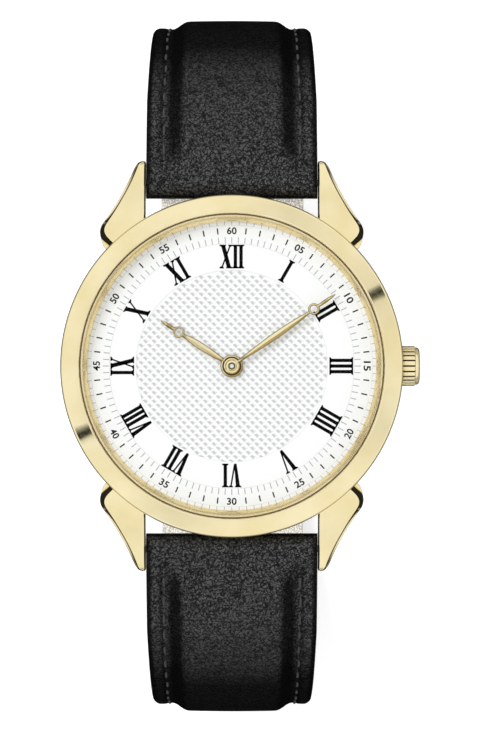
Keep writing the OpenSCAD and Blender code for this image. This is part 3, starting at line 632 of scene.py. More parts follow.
def lug_section(point, normal):
    """Points down the lug's wall: flat top, steep band, flank, side, underside."""
    x, y, overhang, band, tilt = point
    band = max(0.05, min(band * 1.1, overhang))
    z_band = band * tan(radians(66))
    z_flank = z_band + max(0.0, overhang - band) * tan(radians(tilt))
    # the tip droops a little
    t = min(1.0, max(0.0, (min(y, 23.9) - 22.9)) / 1.05)
    droop = 0.03 * t * t
    bend = max(0.0, y - 15.5)
    top = 5.1 - 0.034 * bend * bend - droop
    bottom = 1.1 - 0.1 * (y - 15) + droop * 1.4
    height = top - bottom
    # outward offset, with a depth below the top or a share of the height from the bottom
    upper = [(-0.10, 0.0), (-0.025, 0.004), (0.012, 0.03), (band, z_band),
             (max(band, overhang - 0.03), z_flank), (overhang, z_flank + 0.08),
             (overhang, 1.9)]
    lower = [(overhang, 0.28), (0.93 * overhang, 0.12), (0.6 * overhang, 0.03),
             (0.1 * overhang, 0.0)]
    levels = [(offset, top - min(depth, height * 0.62)) for offset, depth in upper]
    levels += [(offset, bottom + share * height) for offset, share in lower]
    section = []
    for offset, z in levels:
        px, py = max(x + normal[0] * offset, LUG_MIN_X), y + normal[1] * offset
        r = hypot(px, py)
        if r < LUG_MIN_RADIUS:
            px, py = px * LUG_MIN_RADIUS / r, py * LUG_MIN_RADIUS / r
        section.append((px, py, z))
    return section


def lug_cap(ring, back):
    """Narrow triangles across a ring, from the tip back to the case."""
    first, last = 1, len(ring) - 1
    faces = [(0, first, last)]
    while first < back or last > back:
        y_first = abs(ring[first + 1][1]) if first < back else -1e9
        y_last = abs(ring[last - 1][1]) if last > back else -1e9
        if y_first >= y_last:
            faces.append((first, first + 1, last))
            first += 1
        else:
            if last - 1 != first:
                faces.append((first, last, last - 1))
            last -= 1
    return faces


def case_band():
    geo = Geo().lathe(BAND)
    outline = refine(LUG, LUG_STEPS)
    n = len(outline)
    normals = left_normals(outline, closed=True)
    lug_rings = list(zip(*[lug_section(p, nor) for p, nor in zip(outline, normals)]))
    for side_x in (1, -1):
        for side_y in (1, -1):
            start = len(geo.v)
            rings = [[(side_x * x, side_y * y, z) for x, y, z in r] for r in lug_rings]
            geo.loft(rings, caps=False)
            for k in (0, len(rings) - 1):
                base = start + k * n
                geo.f += [tuple(base + i for i in face)
                          for face in lug_cap(rings[k], LUG_BACK * LUG_STEPS)]
    obj = geo.build("case_band_lugs", GOLD_LUG, "case", "polished_gold", sharp=24)
    # crown tube hole, then the spring bar holes
    cutters = [cutter(0.9, -21, 0, at=(36.5, 0, CROWN_Z))]
    cutters += [cutter(0.45, -10.95, 10.95, at=(0, s * BAR_Y, BAR_Z)) for s in (1, -1)]
    cut_away(obj, cutters, sharp=24)
    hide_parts("case_middle")


# Turned parts of the case: name, CAD piece, material, slot, sharp angle, (radius, height)
TURNED = [
    ("rehaut", "rehaut_ring", GOLD_SATIN, "polished_gold", 50,
     [(17.49, DIAL_TOP), (17.49, GLASS_BASE), (17.45, GLASS_BASE), (17.38, 5.70),
      (16.98, 5.12), (16.90, 4.97), (16.86, 4.82), (16.85, DIAL_TOP)]),
    ("glass_gasket", "crystal_gasket", AMBER, "gasket_amber", 40,
     [(17.61, GLASS_BASE), (17.74, GLASS_BASE), (17.74, 6.5), (17.72, 6.55), (17.63, 6.55),
      (17.61, 6.5)]),
    ("glass", "crystal", GLASS, "mineral_glass", 30,
     [(0, GLASS_BASE), (17.55, GLASS_BASE), (17.6, 5.8), (17.6, 6.62), (17.57, 6.69),
      (17.5, 6.74), (17.43, 6.75), (0, 6.75)]),
    ("back_cover", "caseback", BACK, "caseback_steel", 30,
     [(0, 0), (8, 0), (15.6, 0), (15.66, 0.06), (15.9, 0.06), (15.96, 0), (17.5, 0),
      (17.85, 0.03), (18.3, 0.25), (18.55, 0.6), (18.6, BAND_BASE), (17.45, BAND_BASE),
      (17.45, 1.3), (17.3, 1.3), (17.3, 1.65), (16.5, 1.65), (16.5, BAND_BASE),
      (0, BAND_BASE)]),
]


def turned_parts():
    for name, piece, material, slot, sharp, profile in TURNED:
        obj = Geo().lathe(profile).build(name, material, "case", slot, sharp=sharp)
        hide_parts(piece)


def pinion_cap():
    profile = [(0, 5.452), (0.2, 5.452), (0.24, 5.47), (0.24, 5.5), (0.2, 5.525), (0, 5.53)]
    Geo().lathe(profile, 40).build("pinion_cap", STEEL_CAP, "minute_hand_group", "steel",
                                   sharp=30)


FLUTES = 22
FLUTE_STEPS = 20
CROWN_RADIUS = 2.35
CROWN_BORE = 1.35
# fluted part: x, scale of the radius, share of the groove depth
CROWN_FLUTED = [(19.5, 0.93, 0.5), (19.56, 0.965, 0.8), (19.72, 1.0, 1), (21.28, 1.0, 1),
                (21.38, 0.99, 0.9), (21.44, 0.965, 0.6)]
# domed end: x, radius
CROWN_DOME = [(21.45, 2.13), (21.47, 2.18), (21.56, 2.2), (21.68, 2.18), (21.78, 2.13),
              (21.86, 2.05), (21.925, 1.93), (21.965, 1.77), (21.985, 1.55), (21.99, 1.1),
              (21.995, 0.65), (22.0, 0.25)]


def flute_radius(i, depth):
    """Rounded rib with a round groove cut in the middle of each step."""
    d = abs((i % FLUTE_STEPS) / FLUTE_STEPS - 0.5)
    r = CROWN_RADIUS - 0.04 * (1 - smooth((d - 0.1) / 0.22))
    if d < 0.125:
        r -= 0.20 * depth * (1 - (d / 0.125) ** 2)
    return r


def crown_ring(x, radius_at):
    seg = FLUTES * FLUTE_STEPS
    return [(x, radius_at(i) * cos(2 * pi * i / seg),
             CROWN_Z + radius_at(i) * sin(2 * pi * i / seg)) for i in range(seg)]


def crown():
    # hollow from the case side, so the tube and its gasket have room
    rings = [crown_ring(x, lambda i: CROWN_BORE) for x in (20.9, 19.5)]
    rings += [crown_ring(x, lambda i: flute_radius(i, depth) * scale)
              for x, scale, depth in CROWN_FLUTED]
    rings += [crown_ring(x, lambda i: radius) for x, radius in CROWN_DOME]
    obj = Geo().loft(rings).build("crown_knob", GOLD_CROWN, "crown_b", "polished_gold",
                                  sharp=35)
    # painted shadow: the bottoms of the grooves are coloured dark
    obj.data.materials.append(GROOVE_SHADOW)
    for p in obj.data.polygons:
        c = p.center / MM
        turn = atan2(c.z - CROWN_Z, c.y) / (2 * pi) * FLUTES
        in_groove = abs((turn % 1.0) - 0.5) < 0.115
        outside = hypot(c.y, c.z - CROWN_Z) > 1.6
        if 19.6 < c.x < 21.42 and in_groove and len(p.vertices) == 4 and outside:
            p.material_index = 1
    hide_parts("crown")


# ---------------------------------------------------------------- dial
NUMERAL_IN, NUMERAL_OUT = 11.40, 14.17     # radii of the feet and heads of the numerals
STEM = 0.395                               # width of a thick stroke
PRINT_BASE, PRINT_TOP = DIAL_TOP - 0.004, DIAL_TOP + 0.012

# hour: (letter, sideways place, width); the width is unused for I
ROMAN = {
    12: [("X", -0.67, 1.55), ("I", 0.42, 0), ("I", 1.08, 0)],
    1: [("I", 0, 0)],
    2: [("I", -0.33, 0), ("I", 0.33, 0)],
    3: [("I", -0.66, 0), ("I", 0, 0), ("I", 0.66, 0)],
    4: [("I", -0.99, 0), ("I", -0.33, 0), ("I", 0.33, 0), ("I", 0.99, 0)],
    5: [("V", 0, 1.6)],
    6: [("V", -0.38, 1.5), ("I", 0.76, 0)],
    7: [("V", -0.65, 1.35), ("I", 0.34, 0), ("I", 0.98, 0)],
    8: [("V", -0.92, 1.3), ("I", 0.04, 0), ("I", 0.64, 0), ("I", 1.22, 0)],
    9: [("I", -0.76, 0), ("X", 0.35, 1.5)],
    10: [("X", 0, 1.7)],
    11: [("X", -0.36, 1.5), ("I", 0.76, 0)],
}


def letter(geo, char, place, width, angle):
    """One letter of a numeral, its head pointing outward."""
    h = (NUMERAL_OUT - NUMERAL_IN) / 2
    middle = (NUMERAL_OUT + NUMERAL_IN) / 2
    left, right = -width / 2, width / 2

    def stroke(points):
        geo.prism(turned(points, angle, place, middle), PRINT_BASE, PRINT_TOP)

    def serif(xa, xb, stem_a, stem_b, up):
        """Bracketed serif from xa to xb on a stem that spans stem_a to stem_b."""
        end, d = (h, -1) if up else (-h, 1)
        points = [(xa, end), (xb, end), (xb, end + 0.11 * d), (stem_b, end + 0.25 * d),
                  (stem_a, end + 0.25 * d), (xa, end + 0.11 * d)]
        stroke(points[::-1] if up else points)

    if char == "I":
        stroke([(-STEM / 2, -h), (STEM / 2, -h), (STEM / 2, h), (-STEM / 2, h)])
        for up in (False, True):
            serif(-0.38, 0.38, -STEM / 2, STEM / 2, up)
    elif char == "V":
        stroke([(-0.18, -h), (0.12, -h), (left + 0.64, h), (left + 0.15, h)])
        stroke([(-0.06, -h), (0.12, -h), (right - 0.16, h), (right - 0.34, h)])
        serif(left, left + 0.78, left + 0.19, left + 0.60, True)
        serif(right - 0.52, right, right - 0.35, right - 0.17, True)
    else:
        stroke([(right - 0.65, -h), (right - 0.16, -h), (left + 0.65, h), (left + 0.16, h)])
        stroke([(left + 0.17, -h), (left + 0.35, -h), (right - 0.17, h), (right - 0.35, h)])
        serif(left, left + 0.78, left + 0.20, left + 0.62, True)
        serif(right - 0.52, right, right - 0.36, right - 0.18, True)
        serif(left, left + 0.52, left + 0.18, left + 0.36, False)
        serif(right - 0.78, right, right - 0.62, right - 0.20, False)


def dial_plate():
    """Plate with a shallow round hollow for the engraved centre, and two feet."""
    geo = Geo().lathe([(0.85, 4.0), (17.4, 4.0), (17.4, DIAL_TOP), (11.22, DIAL_TOP),
                       (11.2, DIAL_TOP - 0.02), (11.2, DIAL_TOP - 0.05),
                       (0.85, DIAL_TOP - 0.05)])
    for angle in (60, 240):
        geo.lathe([(0, 3.1), (0.3, 3.1), (0.35, 3.16), (0.35, 4.02), (0, 4.02)], 32,
                  at=(9 * cos(radians(angle)), 9 * sin(radians(angle)), 0))
    obj = geo.build("dial_plate", DIAL, "case", "dial_white", sharp=30)
    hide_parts("dial")


def dial_engraving():
    """Hobnail centre: a 45 degree lattice of small ridged pyramids."""
    pitch = 1.0
    half = pitch * 0.43       # half diagonal of a cell
    outer, inner = 11.18, 0.86
    base = DIAL_TOP - 0.053
    top = base + 0.075
    verts, faces, index = [], [], {}

    def vertex(x, y, z):
        key = (round(x, 3), round(y, 3))
        if key not in index:
            index[key] = len(verts)
            verts.append((x, y, z))
        return index[key]

    def fit(x, y):
        """Pulls a corner onto the rim or the centre hole."""
        r = hypot(x, y)
        if r > outer:
            return x * outer / r, y * outer / r
        if r < inner:
            return x * inner / r, y * inner / r
        return x, y

    n = int(outer / pitch) + 2
    for i in range(-n, n + 1):
        for j in range(-2 * n, 2 * n + 1):
            cx = (i + (0.5 if j % 2 else 0.0)) * pitch
            cy = j * pitch / 2
            if not 0.3 <= hypot(cx, cy) < outer:
                continue
            corners = [(cx + half, cy), (cx, cy + half), (cx - half, cy), (cx, cy - half)]
            right, up, left, down = [vertex(*fit(*c), base) for c in corners]
            # a short ridge along the falling diagonal tops each cell
            a = vertex(cx + 0.11, cy - 0.05, top)
            b = vertex(cx - 0.05, cy + 0.11, top)
            for face in ((right, up, b, a), (up, left, b), (left, down, a, b),
                         (down, right, a)):
                if len(set(face)) > 2:
                    faces.append(face)
    geo = Geo()
    geo.add(verts, faces)
    geo.build("dial_engraving", ENGRAVED, "case", "dial_white")


def tick(geo, clock, r0, r1, width, top):
    """Radial bar at a clock angle in degrees."""
    bar = [(r0, -width / 2), (r1, -width / 2), (r1, width / 2), (r0, width / 2)]
    geo.prism(turned(bar, radians(90 - clock)), PRINT_BASE, top)


def dial_printing():
    black, grey, faint = Geo(), Geo(), Geo()
    for hour, letters in ROMAN.items():
        for char, place, width in letters:
            letter(black, char, place, width, -radians(hour * 30))
    for minute in range(60):
        if minute % 5:
            tick(black, minute * 6, 15.45, 16.15, 0.15, PRINT_TOP)
    for half_minute in range(120):
        tick(grey, half_minute * 3, 16.46, 16.84, 0.07, PRINT_TOP - 0.004)
        tick(grey, half_minute * 3, 14.35, 15.05, 0.11, PRINT_TOP - 0.004)
    top = PRINT_TOP - 0.006
    for r, half in ((14.3, 0.035), (16.45, 0.022), (11.2, 0.03)):
        faint.lathe([(r - half, PRINT_BASE), (r + half, PRINT_BASE), (r + half, top),
                     (r - half, top)])
    faint.build("dial_scale_faint", INK_FAINT, "case", "dial_white")
    black.build("dial_numerals", INK, "case", "dial_white")
    grey.build("dial_scale_grey", INK_GREY, "case", "dial_white")


def text_mesh(text):
    curve = bpy.data.curves.new("fig", "FONT")
    curve.body = text
    curve.align_x = "CENTER"
    curve.align_y = "CENTER"
    curve.size = 1.06 * MM
    curve.extrude = 0.008 * MM
    curve.space_character = 1.02
    curve.offset = 0.022 * MM
    obj = add_object("fig", curve)
    bpy.context.view_layer.update()
    depsgraph = bpy.context.evaluated_depsgraph_get()
    mesh = bpy.data.meshes.new_from_object(obj.evaluated_get(depsgraph))
    bpy.data.objects.remove(obj)
    return mesh


def dial_figures():
    """Two-digit minute figures; the lower ones are turned to read upright."""
    width, height, radius = 1.12, 0.82, 15.8
    for minute in (60, *range(5, 60, 5)):
        mesh = text_mesh("%02d" % minute)
        xs = [v.co.x for v in mesh.vertices]
        ys = [v.co.y for v in mesh.vertices]
        centre = (-(max(xs) + min(xs)) / 2, -(max(ys) + min(ys)) / 2, 0)
        mesh.transform(Matrix.Translation(centre))
        mesh.transform(Matrix.Diagonal((width * MM / (max(xs) - min(xs)),
                                        height * MM / (max(ys) - min(ys)), 1, 1)))
        clock = minute * 6
        angle = radians(90 - clock)
        turn = -radians(clock) + (pi if 100 < clock % 360 < 260 else 0)
        place = (radius * cos(angle) * MM, radius * sin(angle) * MM, (DIAL_TOP + 0.008) * MM)
        mesh.transform(Matrix.Translation(place) @ Matrix.Rotation(turn, 4, "Z"))
        mesh.materials.clear()
        mesh.materials.append(INK_FIGURES)
        mesh.name = "dial_figure_%02d" % minute
        obj = add_object("dial_figure_%02d" % minute, mesh)
        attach(obj, "case")


# ---------------------------------------------------------------- hands
def leaf(start, end, w_start, w_middle, w_end, steps=18):
    """Blade stations of (distance from the centre, half width)."""
    stations = []
    for i in range(steps + 1):
        t = i / steps
        swell = (w_middle - (w_start + w_end) / 2) * sin(pi * t ** 1.2)
        stations.append((start + (end - start) * t, (w_start + (w_end - w_start) * t) + swell))
    return stations


def hand(name, piece, clock, z, thick, blades, ring_y, ring_out, ring_in, hub_out, hub_in):
    """Faceted blades, an open ring and a turned hub, pointing at a clock angle."""
    geo = Geo()
    edges = []                # faces that get painted shade as a dark line along the cut edges
    for blade in blades:
        sections = []
        for y, w in blade:
            k = max(w - 0.075, w * 0.45)
            sections.append([
                (-w, y, z), (w, y, z), (w, y, z + thick * 0.2), (k, y, z + thick * 0.42),
                (w * 0.06, y, z + thick), (-w * 0.06, y, z + thick),
                (-k, y, z + thick * 0.42), (-w, y, z + thick * 0.2)])
        start = len(geo.f)
        geo.loft(sections)
        for j in range(len(sections) - 1):
            edges += [start + j * 8 + i for i in (1, 2, 6, 7)]

    seg = 72
    k = ring_out - ring_in
    start = len(geo.f)
    geo.lathe([(ring_in, z), (ring_out, z), (ring_out, z + thick * 0.4),
               (ring_out - k * 0.28, z + thick * 0.85), (ring_out - k * 0.5, z + thick),
               (ring_in + k * 0.45, z + thick), (ring_in + k * 0.25, z + thick * 0.85),
               (ring_in, z + thick * 0.4)], seg, at=(0, ring_y, 0))
    edges += [start + row * seg + i for row in (2, 6) for i in range(seg)]

    # hub with a raised collar
    seg = 96
    start = len(geo.f)
    geo.lathe([(hub_in, z), (hub_out, z), (hub_out, z + thick * 0.5),
               (hub_out - 0.07, z + thick * 0.75), (hub_out - 0.2, z + thick),
               (hub_out - 0.34, z + thick * 0.75), (hub_in + 0.14, z + thick * 0.8),
               (hub_in + 0.07, z + thick * 1.05), (hub_in, z + thick * 1.05)], seg)
    edges += [start + 2 * seg + i for i in range(seg)]

    c, s = cos(-radians(clock)), sin(-radians(clock))
    geo.v = [(x * c - y * s, x * s + y * c, z) for x, y, z in geo.v]
    obj = geo.build(name, HAND_GOLD, piece + "_group", "hand_gold", sharp=12)
    # second slot: painted shade on the cut edges
    obj.data.materials.append(HAND_EDGE_SHADE)
    # mesh validation may drop faces, and then the numbers no longer match
    if len(obj.data.polygons) == len(geo.f):
        for i in edges:
            obj.data.polygons[i].material_index = 1
    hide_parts(piece)


def hands():
    hand("hand_hour", "hour_hand", clock=302.6, z=4.75, thick=0.22,
         blades=[leaf(0.95, 6.82, 0.2, 0.42, 0.17), leaf(7.9, 9.85, 0.2, 0.22, 0.05, 8)],
         ring_y=7.35, ring_out=0.67, ring_in=0.44, hub_out=1.31, hub_in=0.76)
    hand("hand_minute", "minute_hand", clock=55.3, z=5.15, thick=0.2,
         blades=[leaf(0.75, 11.12, 0.17, 0.40, 0.14), leaf(12.24, 14.7, 0.17, 0.2, 0.05, 8)],
         ring_y=11.66, ring_out=0.68, ring_in=0.42, hub_out=0.99, hub_in=0.42)


bezel()
case_band()
turned_parts()
pinion_cap()
crown()
dial_plate()
dial_engraving()
dial_printing()
dial_figures()
hands()


# ---------------------------------------------------------------- strap
# s is the distance along the strap from its spring bar, n the height over its middle line
SHORT, LONG = 75.0, 115.0
BEND, SLOPE = 28.5, 20.0      # radius of the first bend and its slope at the bar, degrees
BEND_Y = BAR_Y - BEND * sin(radians(SLOPE))
BEND_Z = BAR_Z - BEND * cos(radians(SLOPE))
S_BEND = BEND * radians(90 - SLOPE)
# the long half then drops straight, bends under the case and runs flat
DROP, BEND_2 = 8.5, 30.0
S_BEND_2 = BEND_2 * pi / 2
HALF_WIDTH = 10.03
END_HALF = 1.25               # half thickness where the short half wraps the buckle bar
LINING_START = 4.0


def path(s, long):
    """Middle line as y away from the case, z and angle below the horizon."""
    if not long or s <= S_BEND:
        angle = radians(SLOPE) + s / BEND
        return BEND_Y + BEND * sin(angle), BEND_Z + BEND * cos(angle), angle
    y0, z0 = BEND_Y + BEND, BEND_Z
    if s <= S_BEND + DROP:
        return y0, z0 - (s - S_BEND), pi / 2
    if s <= S_BEND + DROP + S_BEND_2:
        a = (s - S_BEND - DROP) / BEND_2
        return y0 - BEND_2 + BEND_2 * cos(a), z0 - DROP - BEND_2 * sin(a), pi / 2 + a
    return y0 - BEND_2 - (s - S_BEND - DROP - S_BEND_2), z0 - DROP - BEND_2, pi


def strap_point(s, x, n, long):
    y, z, angle = path(s, long)
    side = -1 if long else 1
    return (x, side * (y + n * sin(angle)), z + n * cos(angle))


def half_width(s, long):
    """Tapers away from the case; the long half ends in a rounded tip."""
    w = HALF_WIDTH + (9.05 - HALF_WIDTH) * min(1, max(0, (s - 11) / 37))
    if long and s > LONG - 9:
        w *= sqrt(max(0.0225, 1 - ((s - LONG + 9) / 9.1) ** 2))
    return w


def inner_n(s):
    return -lerp_table(s, [(-2, 1.2), (0, 1.6), (4, 1.55), (12, 1.1), (18, 1.0)])


def outer_n(s):
    return lerp_table(s, [(-2, 1.2), (0, 1.85), (3, 1.6), (6, 1.4), (14, 1.2), (60, 1.0),
                          (120, 0.9)])


def padding(s):
    return lerp_table(s, [(1.0, 0), (2.2, 0.35), (3.6, 0.75), (5.5, 0.95), (8, 1), (34, 1),
                          (46, 0.55), (52, 0.25), (58, 0)])


def top_n(s, u, w):
    """Outer surface at a distance u from the centre line, for a half width w."""
    x = u / max(w / HALF_WIDTH, 0.05)
    p = padding(s)
    # padding: flat crown, quick shoulder
    t = smooth((7.45 - x) / 1.9)
    crowned = 0.80 * p * (t ** 0.8) + 0.10 * p * (1 - min(1, x / 7.0) ** 2)
    # the stitch row pulls the leather in
    valley = -0.16 * exp(-((x - 7.95) / 0.42) ** 2) * (1.0 if s > 1.5 else max(0, s) / 1.5)
    valley += -0.06 * p * exp(-((x - 7.25) / 0.5) ** 2)
    # rounded, burnished edge
    edge = -0.42 * (1 - min(1.0, (w - u) / 0.75)) ** 2.2
    return outer_n(s) + crowned + valley + edge


def slot_cutter():
    """Box that clears the buckle tongue at the end of the short half."""
    y, z, angle = path(SHORT, False)
    mesh = bpy.data.meshes.new("cutter")
    bm = bmesh.new()
    bmesh.ops.create_cube(bm, size=1)
    bm.to_mesh(mesh)
    bm.free()
    mesh.transform(Matrix.Diagonal((2.7 * MM, 8 * MM, 8 * MM, 1)))
    mesh.transform(Matrix.Translation((0, 0.6 * MM, 0)))
    mesh.transform(Matrix.Translation((0, y * MM, z * MM)) @ Matrix.Rotation(-angle, 4, "X"))
    return add_object("cutter", mesh)


def hole_cutters():
    """Seven rods square to the long half, for the tongue holes."""
    rods = []
    for i in range(7):
        y, z, angle = path(LONG - 22 - 6.5 * i, True)
        rod = cutter(0.9, -4, 4, axis="z", seg=32)
        rod.data.transform(Matrix.Rotation(angle, 4, "X"))
        rod.data.transform(Matrix.Translation((0, -y * MM, z * MM)))
        rods.append(rod)
    return rods


# places across the strap as shares of the half width, dense over the stitch rows and edges
HALF_ACROSS = [-1.0, -0.992, -0.978, -0.955, -0.93, -0.90, -0.875, -0.85, -0.83, -0.81, -0.795,
               -0.78, -0.76, -0.735, -0.70, -0.66, -0.62, -0.58, -0.54, -0.50, -0.44, -0.36,
               -0.26, -0.14]
ACROSS = HALF_ACROSS + [0.0] + [-u for u in reversed(HALF_ACROSS)]


def upper_stations(long):
    end = LONG - 0.05 if long else SHORT + 1.22
    stations = []
    s = -1.82
    while s < end:
        stations.append(s)
        s += 0.18 if s < 3 else (0.14 if s > end - 2.5 else 0.42)
    return stations + [end]


def upper_section(s, long):
    """Outer surface from -x to +x, then the edge and the underside back again."""
    w = half_width(max(s, 0), long)
    xs = [u * w for u in ACROSS]
    end_blend = SHORT - 2.4   # from here the short half eases to its end thickness
    if s < 0:
        # turned over the spring bar
        q = sqrt(max(0.0, 1 - (s / 1.85) ** 2))
        low = -1.78 * q
        tops = [max(top_n(0, abs(x), w) * q, low + 0.01) for x in xs]
    elif not long and s > SHORT:
        # turned over the buckle bar
        q = sqrt(max(0.0, 1 - ((s - SHORT) / 1.25) ** 2))
        low = -END_HALF * q
        tops = [max((END_HALF + (top_n(SHORT, abs(x), w) - outer_n(SHORT))) * q, low + 0.01)
                for x in xs]
    else:
        e = 0.0 if long or s < end_blend else min(1, (s - end_blend) / 2.2)
        if s <= LINING_START or (not long and s >= end_blend):
            low = inner_n(s) * (1 - e) - END_HALF * e
        else:
            low = inner_n(s) + 0.85
        tops = [top_n(s, abs(x), w) + (END_HALF - outer_n(s)) * e for x in xs]
    middle = (tops[-1] + low) / 2
    ring = list(zip(xs, tops)) + [(w, middle), (w, low + 0.02)]
    ring += [(u * w, low) for u in (0.98, 0.7, 0.35, 0.0, -0.35, -0.7, -0.98)]
    ring += [(-w, low + 0.02), (-w, middle)]
    return [strap_point(s, x, n, long) for x, n in ring]


def strap_names(long):
    """Prefix of the object names, and the body."""
    return ("strap_long", "strap_6") if long else ("strap_short", "strap_12")


def strap_upper(long):
    prefix, body = strap_names(long)
    geo = Geo().loft([upper_section(s, long) for s in upper_stations(long)])
    obj = geo.build(prefix + "_upper", LEATHER, body, "black_leather", sharp=55)
    side = -1 if long else 1
    cutters = [cutter(0.8, -11, 11, at=(0, side * BAR_Y, BAR_Z), seg=48)]
    if long:
        cutters += hole_cutters()
    else:
        y, z, _ = path(SHORT, False)
        cutters += [cutter(0.65, -11, 11, at=(0, y, z), seg=48), slot_cutter()]
    cut_away(obj, cutters, sharp=55)
    # faces turned sideways get the dark edge paint
    obj.data.materials.append(EDGE)
    for p in obj.data.polygons:
        if abs(p.normal.x) > 0.75:
            p.material_index = 1
    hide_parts(body + "_upper", body + "_filler")


def strap_lining(long):
    prefix, body = strap_names(long)
    start, end = LINING_START + 0.05, (LONG - 0.15 if long else SHORT - 2.45)
    steps = int((end - start) / 0.6)
    sections = []
    for i in range(steps + 1):
        s = start + (end - start) * i / steps
        w = half_width(s, long) - 0.03
        low, high = inner_n(s), inner_n(s) + 0.83
        ring = [(-w + 0.3, low), (-w + 0.8, low)]
        ring += [(-w + 0.8 + (2 * w - 1.6) * k / 8, low) for k in range(1, 8)]
        ring += [(w - 0.8, low), (w - 0.3, low), (w - 0.06, low + 0.1), (w, low + 0.3),
                 (w, high), (0, high), (-w, high), (-w, low + 0.3), (-w + 0.06, low + 0.1)]
        sections.append([strap_point(s, x, n, long) for x, n in ring])
    obj = Geo().loft(sections).build(prefix + "_lining", LINING, body, "lining_leather",
                                     sharp=45)
    cut_away(obj, hole_cutters() if long else [slot_cutter()], sharp=45)
    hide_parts(body + "_lining")


def stitch(s, length, side, wobble, long):
    """One thread, dipping into the leather at both ends."""
    sections = []
    for i in range(9):
        t = i / 8
        along = s + length * t
        w = half_width(along, long)
        centre = side * (w * 0.799 + wobble)
        if long and along > LONG - 11:
            centre = side * max(0.15, w - 2.0)
        base = top_n(along, abs(centre), w)
        lift = 0.10 * sin(pi * t) ** 0.5 - 0.10
        radius = 0.15 * (0.55 + 0.45 * sin(pi * t) ** 0.4)
        twist = 2 * pi * t * 1.2
        section = []
        for k in range(10):
            a = 2 * pi * k / 10
            r = radius * (1 + 0.10 * cos(2 * a + twist * 2))
            section.append(strap_point(along, centre + r * cos(a),
                                       base + lift + r * 0.8 * sin(a) + 0.05, long))
        sections.append(section)
    return sections


def stitching(long):
    prefix, body = strap_names(long)
    geo = Geo()
    end = LONG - 3.5 if long else SHORT - 7.5
    for side in (-1, 1):
        s = 3.0
        while s < end:
            length = 1.34 + rnd.uniform(-0.12, 0.12)
            wobble = rnd.uniform(-0.06, 0.06)
            geo.loft(stitch(s, length, side, wobble, long))
            s += 2.6
    geo.build(prefix + "_stitching", THREAD, body, "black_leather", sharp=60)


# ---------------------------------------------------------------- keepers and buckle
def on_short(p, at=SHORT):
    """Local (x, forward, outward) at a place on the short half, in the watch's frame."""
    y, z, angle = path(at, False)
    x, forward, out = p
    return (x, y + forward * cos(angle) + out * sin(angle),
            z - forward * sin(angle) + out * cos(angle))


def keeper_loop(half, low, high, r, steps=7):
    """Rounded rectangle, with extra points on its long sides."""
    corners = []
    for cx, cn, start in ((half - r, high - r, 0), (-half + r, high - r, 90),
                          (-half + r, low + r, 180), (half - r, low + r, 270)):
        for i in range(steps + 1):
            a = radians(start + 90 * i / steps)
            corners.append((cx + r * cos(a), cn + r * sin(a)))
    out = []
    for i, p in enumerate(corners):
        q = corners[(i + 1) % len(corners)]
        out.append(p)
        m = int(hypot(q[0] - p[0], q[1] - p[1]) / 1.2)
        for j in range(1, m):
            out.append((p[0] + (q[0] - p[0]) * j / m, p[1] + (q[1] - p[1]) * j / m))
    return out


def keeper(name, piece, body, s):
    """Leather loop round both layers of the strap, with a crease near each edge."""
    w, t = 2.5, 0.45          # half width and half thickness of the band
    # place along the strap, place through the thickness
    band = [(-w + 0.18, t), (-w + 0.7, t), (-w + 0.95, t - 0.10), (-w + 1.2, t), (0, t + 0.02),
            (w - 1.2, t), (w - 0.95, t - 0.10), (w - 0.7, t), (w - 0.18, t), (w, t - 0.2),
            (w, -t + 0.2), (w - 0.18, -t), (-w + 0.18, -t), (-w, -t + 0.2), (-w, t - 0.2)]
    line = keeper_loop(half=9.72, low=-1.83, high=4.22, r=0.9)
    # the loop runs anticlockwise, so outward is against the left normal
    sections = [[on_short((px - nx * v, u, pn - nn * v), s) for u, v in band]
                for (px, pn), (nx, nn) in zip(line, left_normals(line, closed=True))]
    obj = Geo().loft(sections, closed=True).build(name, LEATHER_KEEPER, body,
                                                  "black_leather", sharp=50)
    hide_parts(piece)


def buckle_frame():
    """One bar bent round three sides, with an eye at each end."""
    half, front, r = 10.15, 8.6, 1.7
    back = -0.2
    line = [(-half, back + (front - r + 0.2) * i / 8) for i in range(8)]
    for i in range(9):
        a = pi - (pi / 2) * i / 8
        line.append((-half + r + r * cos(a), front - r + r * sin(a)))
    line += [(-half + r + (2 * half - 2 * r) * i / 24, front) for i in range(1, 24)]
    for i in range(9):
        a = pi / 2 - (pi / 2) * i / 8
        line.append((half - r + r * cos(a), front - r + r * sin(a)))
    line += [(half, front - r - (front - r + 0.2) * i / 8) for i in range(1, 9)]
    # squarish oval section: across the bar, outward
    power = 0.62
    oval = []
    for k in range(20):
        c, s = cos(2 * pi * k / 20), sin(2 * pi * k / 20)
        oval.append((0.84 * copysign(abs(c) ** power, c), 0.92 * copysign(abs(s) ** power, s)))
    geo = Geo().loft([[on_short((x + nx * u, f + nf * u, v)) for u, v in oval]
                      for (x, f), (nx, nf) in zip(line, left_normals(line))])
    for side in (-1, 1):
        eye = Geo().lathe([(0.4, 0), (0.95, 0), (1.08, 0.12), (1.1, 0.3), (1.1, 1.4),
                           (1.08, 1.58), (0.95, 1.7), (0.4, 1.7)], 48, "x")
        geo.add([on_short((side * (9.3 + x), y, z)) for x, y, z in eye.v], eye.f)
    obj = geo.build("pin_buckle_frame", GOLD, "buckle", "polished_gold", sharp=45)
    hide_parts("buckle_frame")


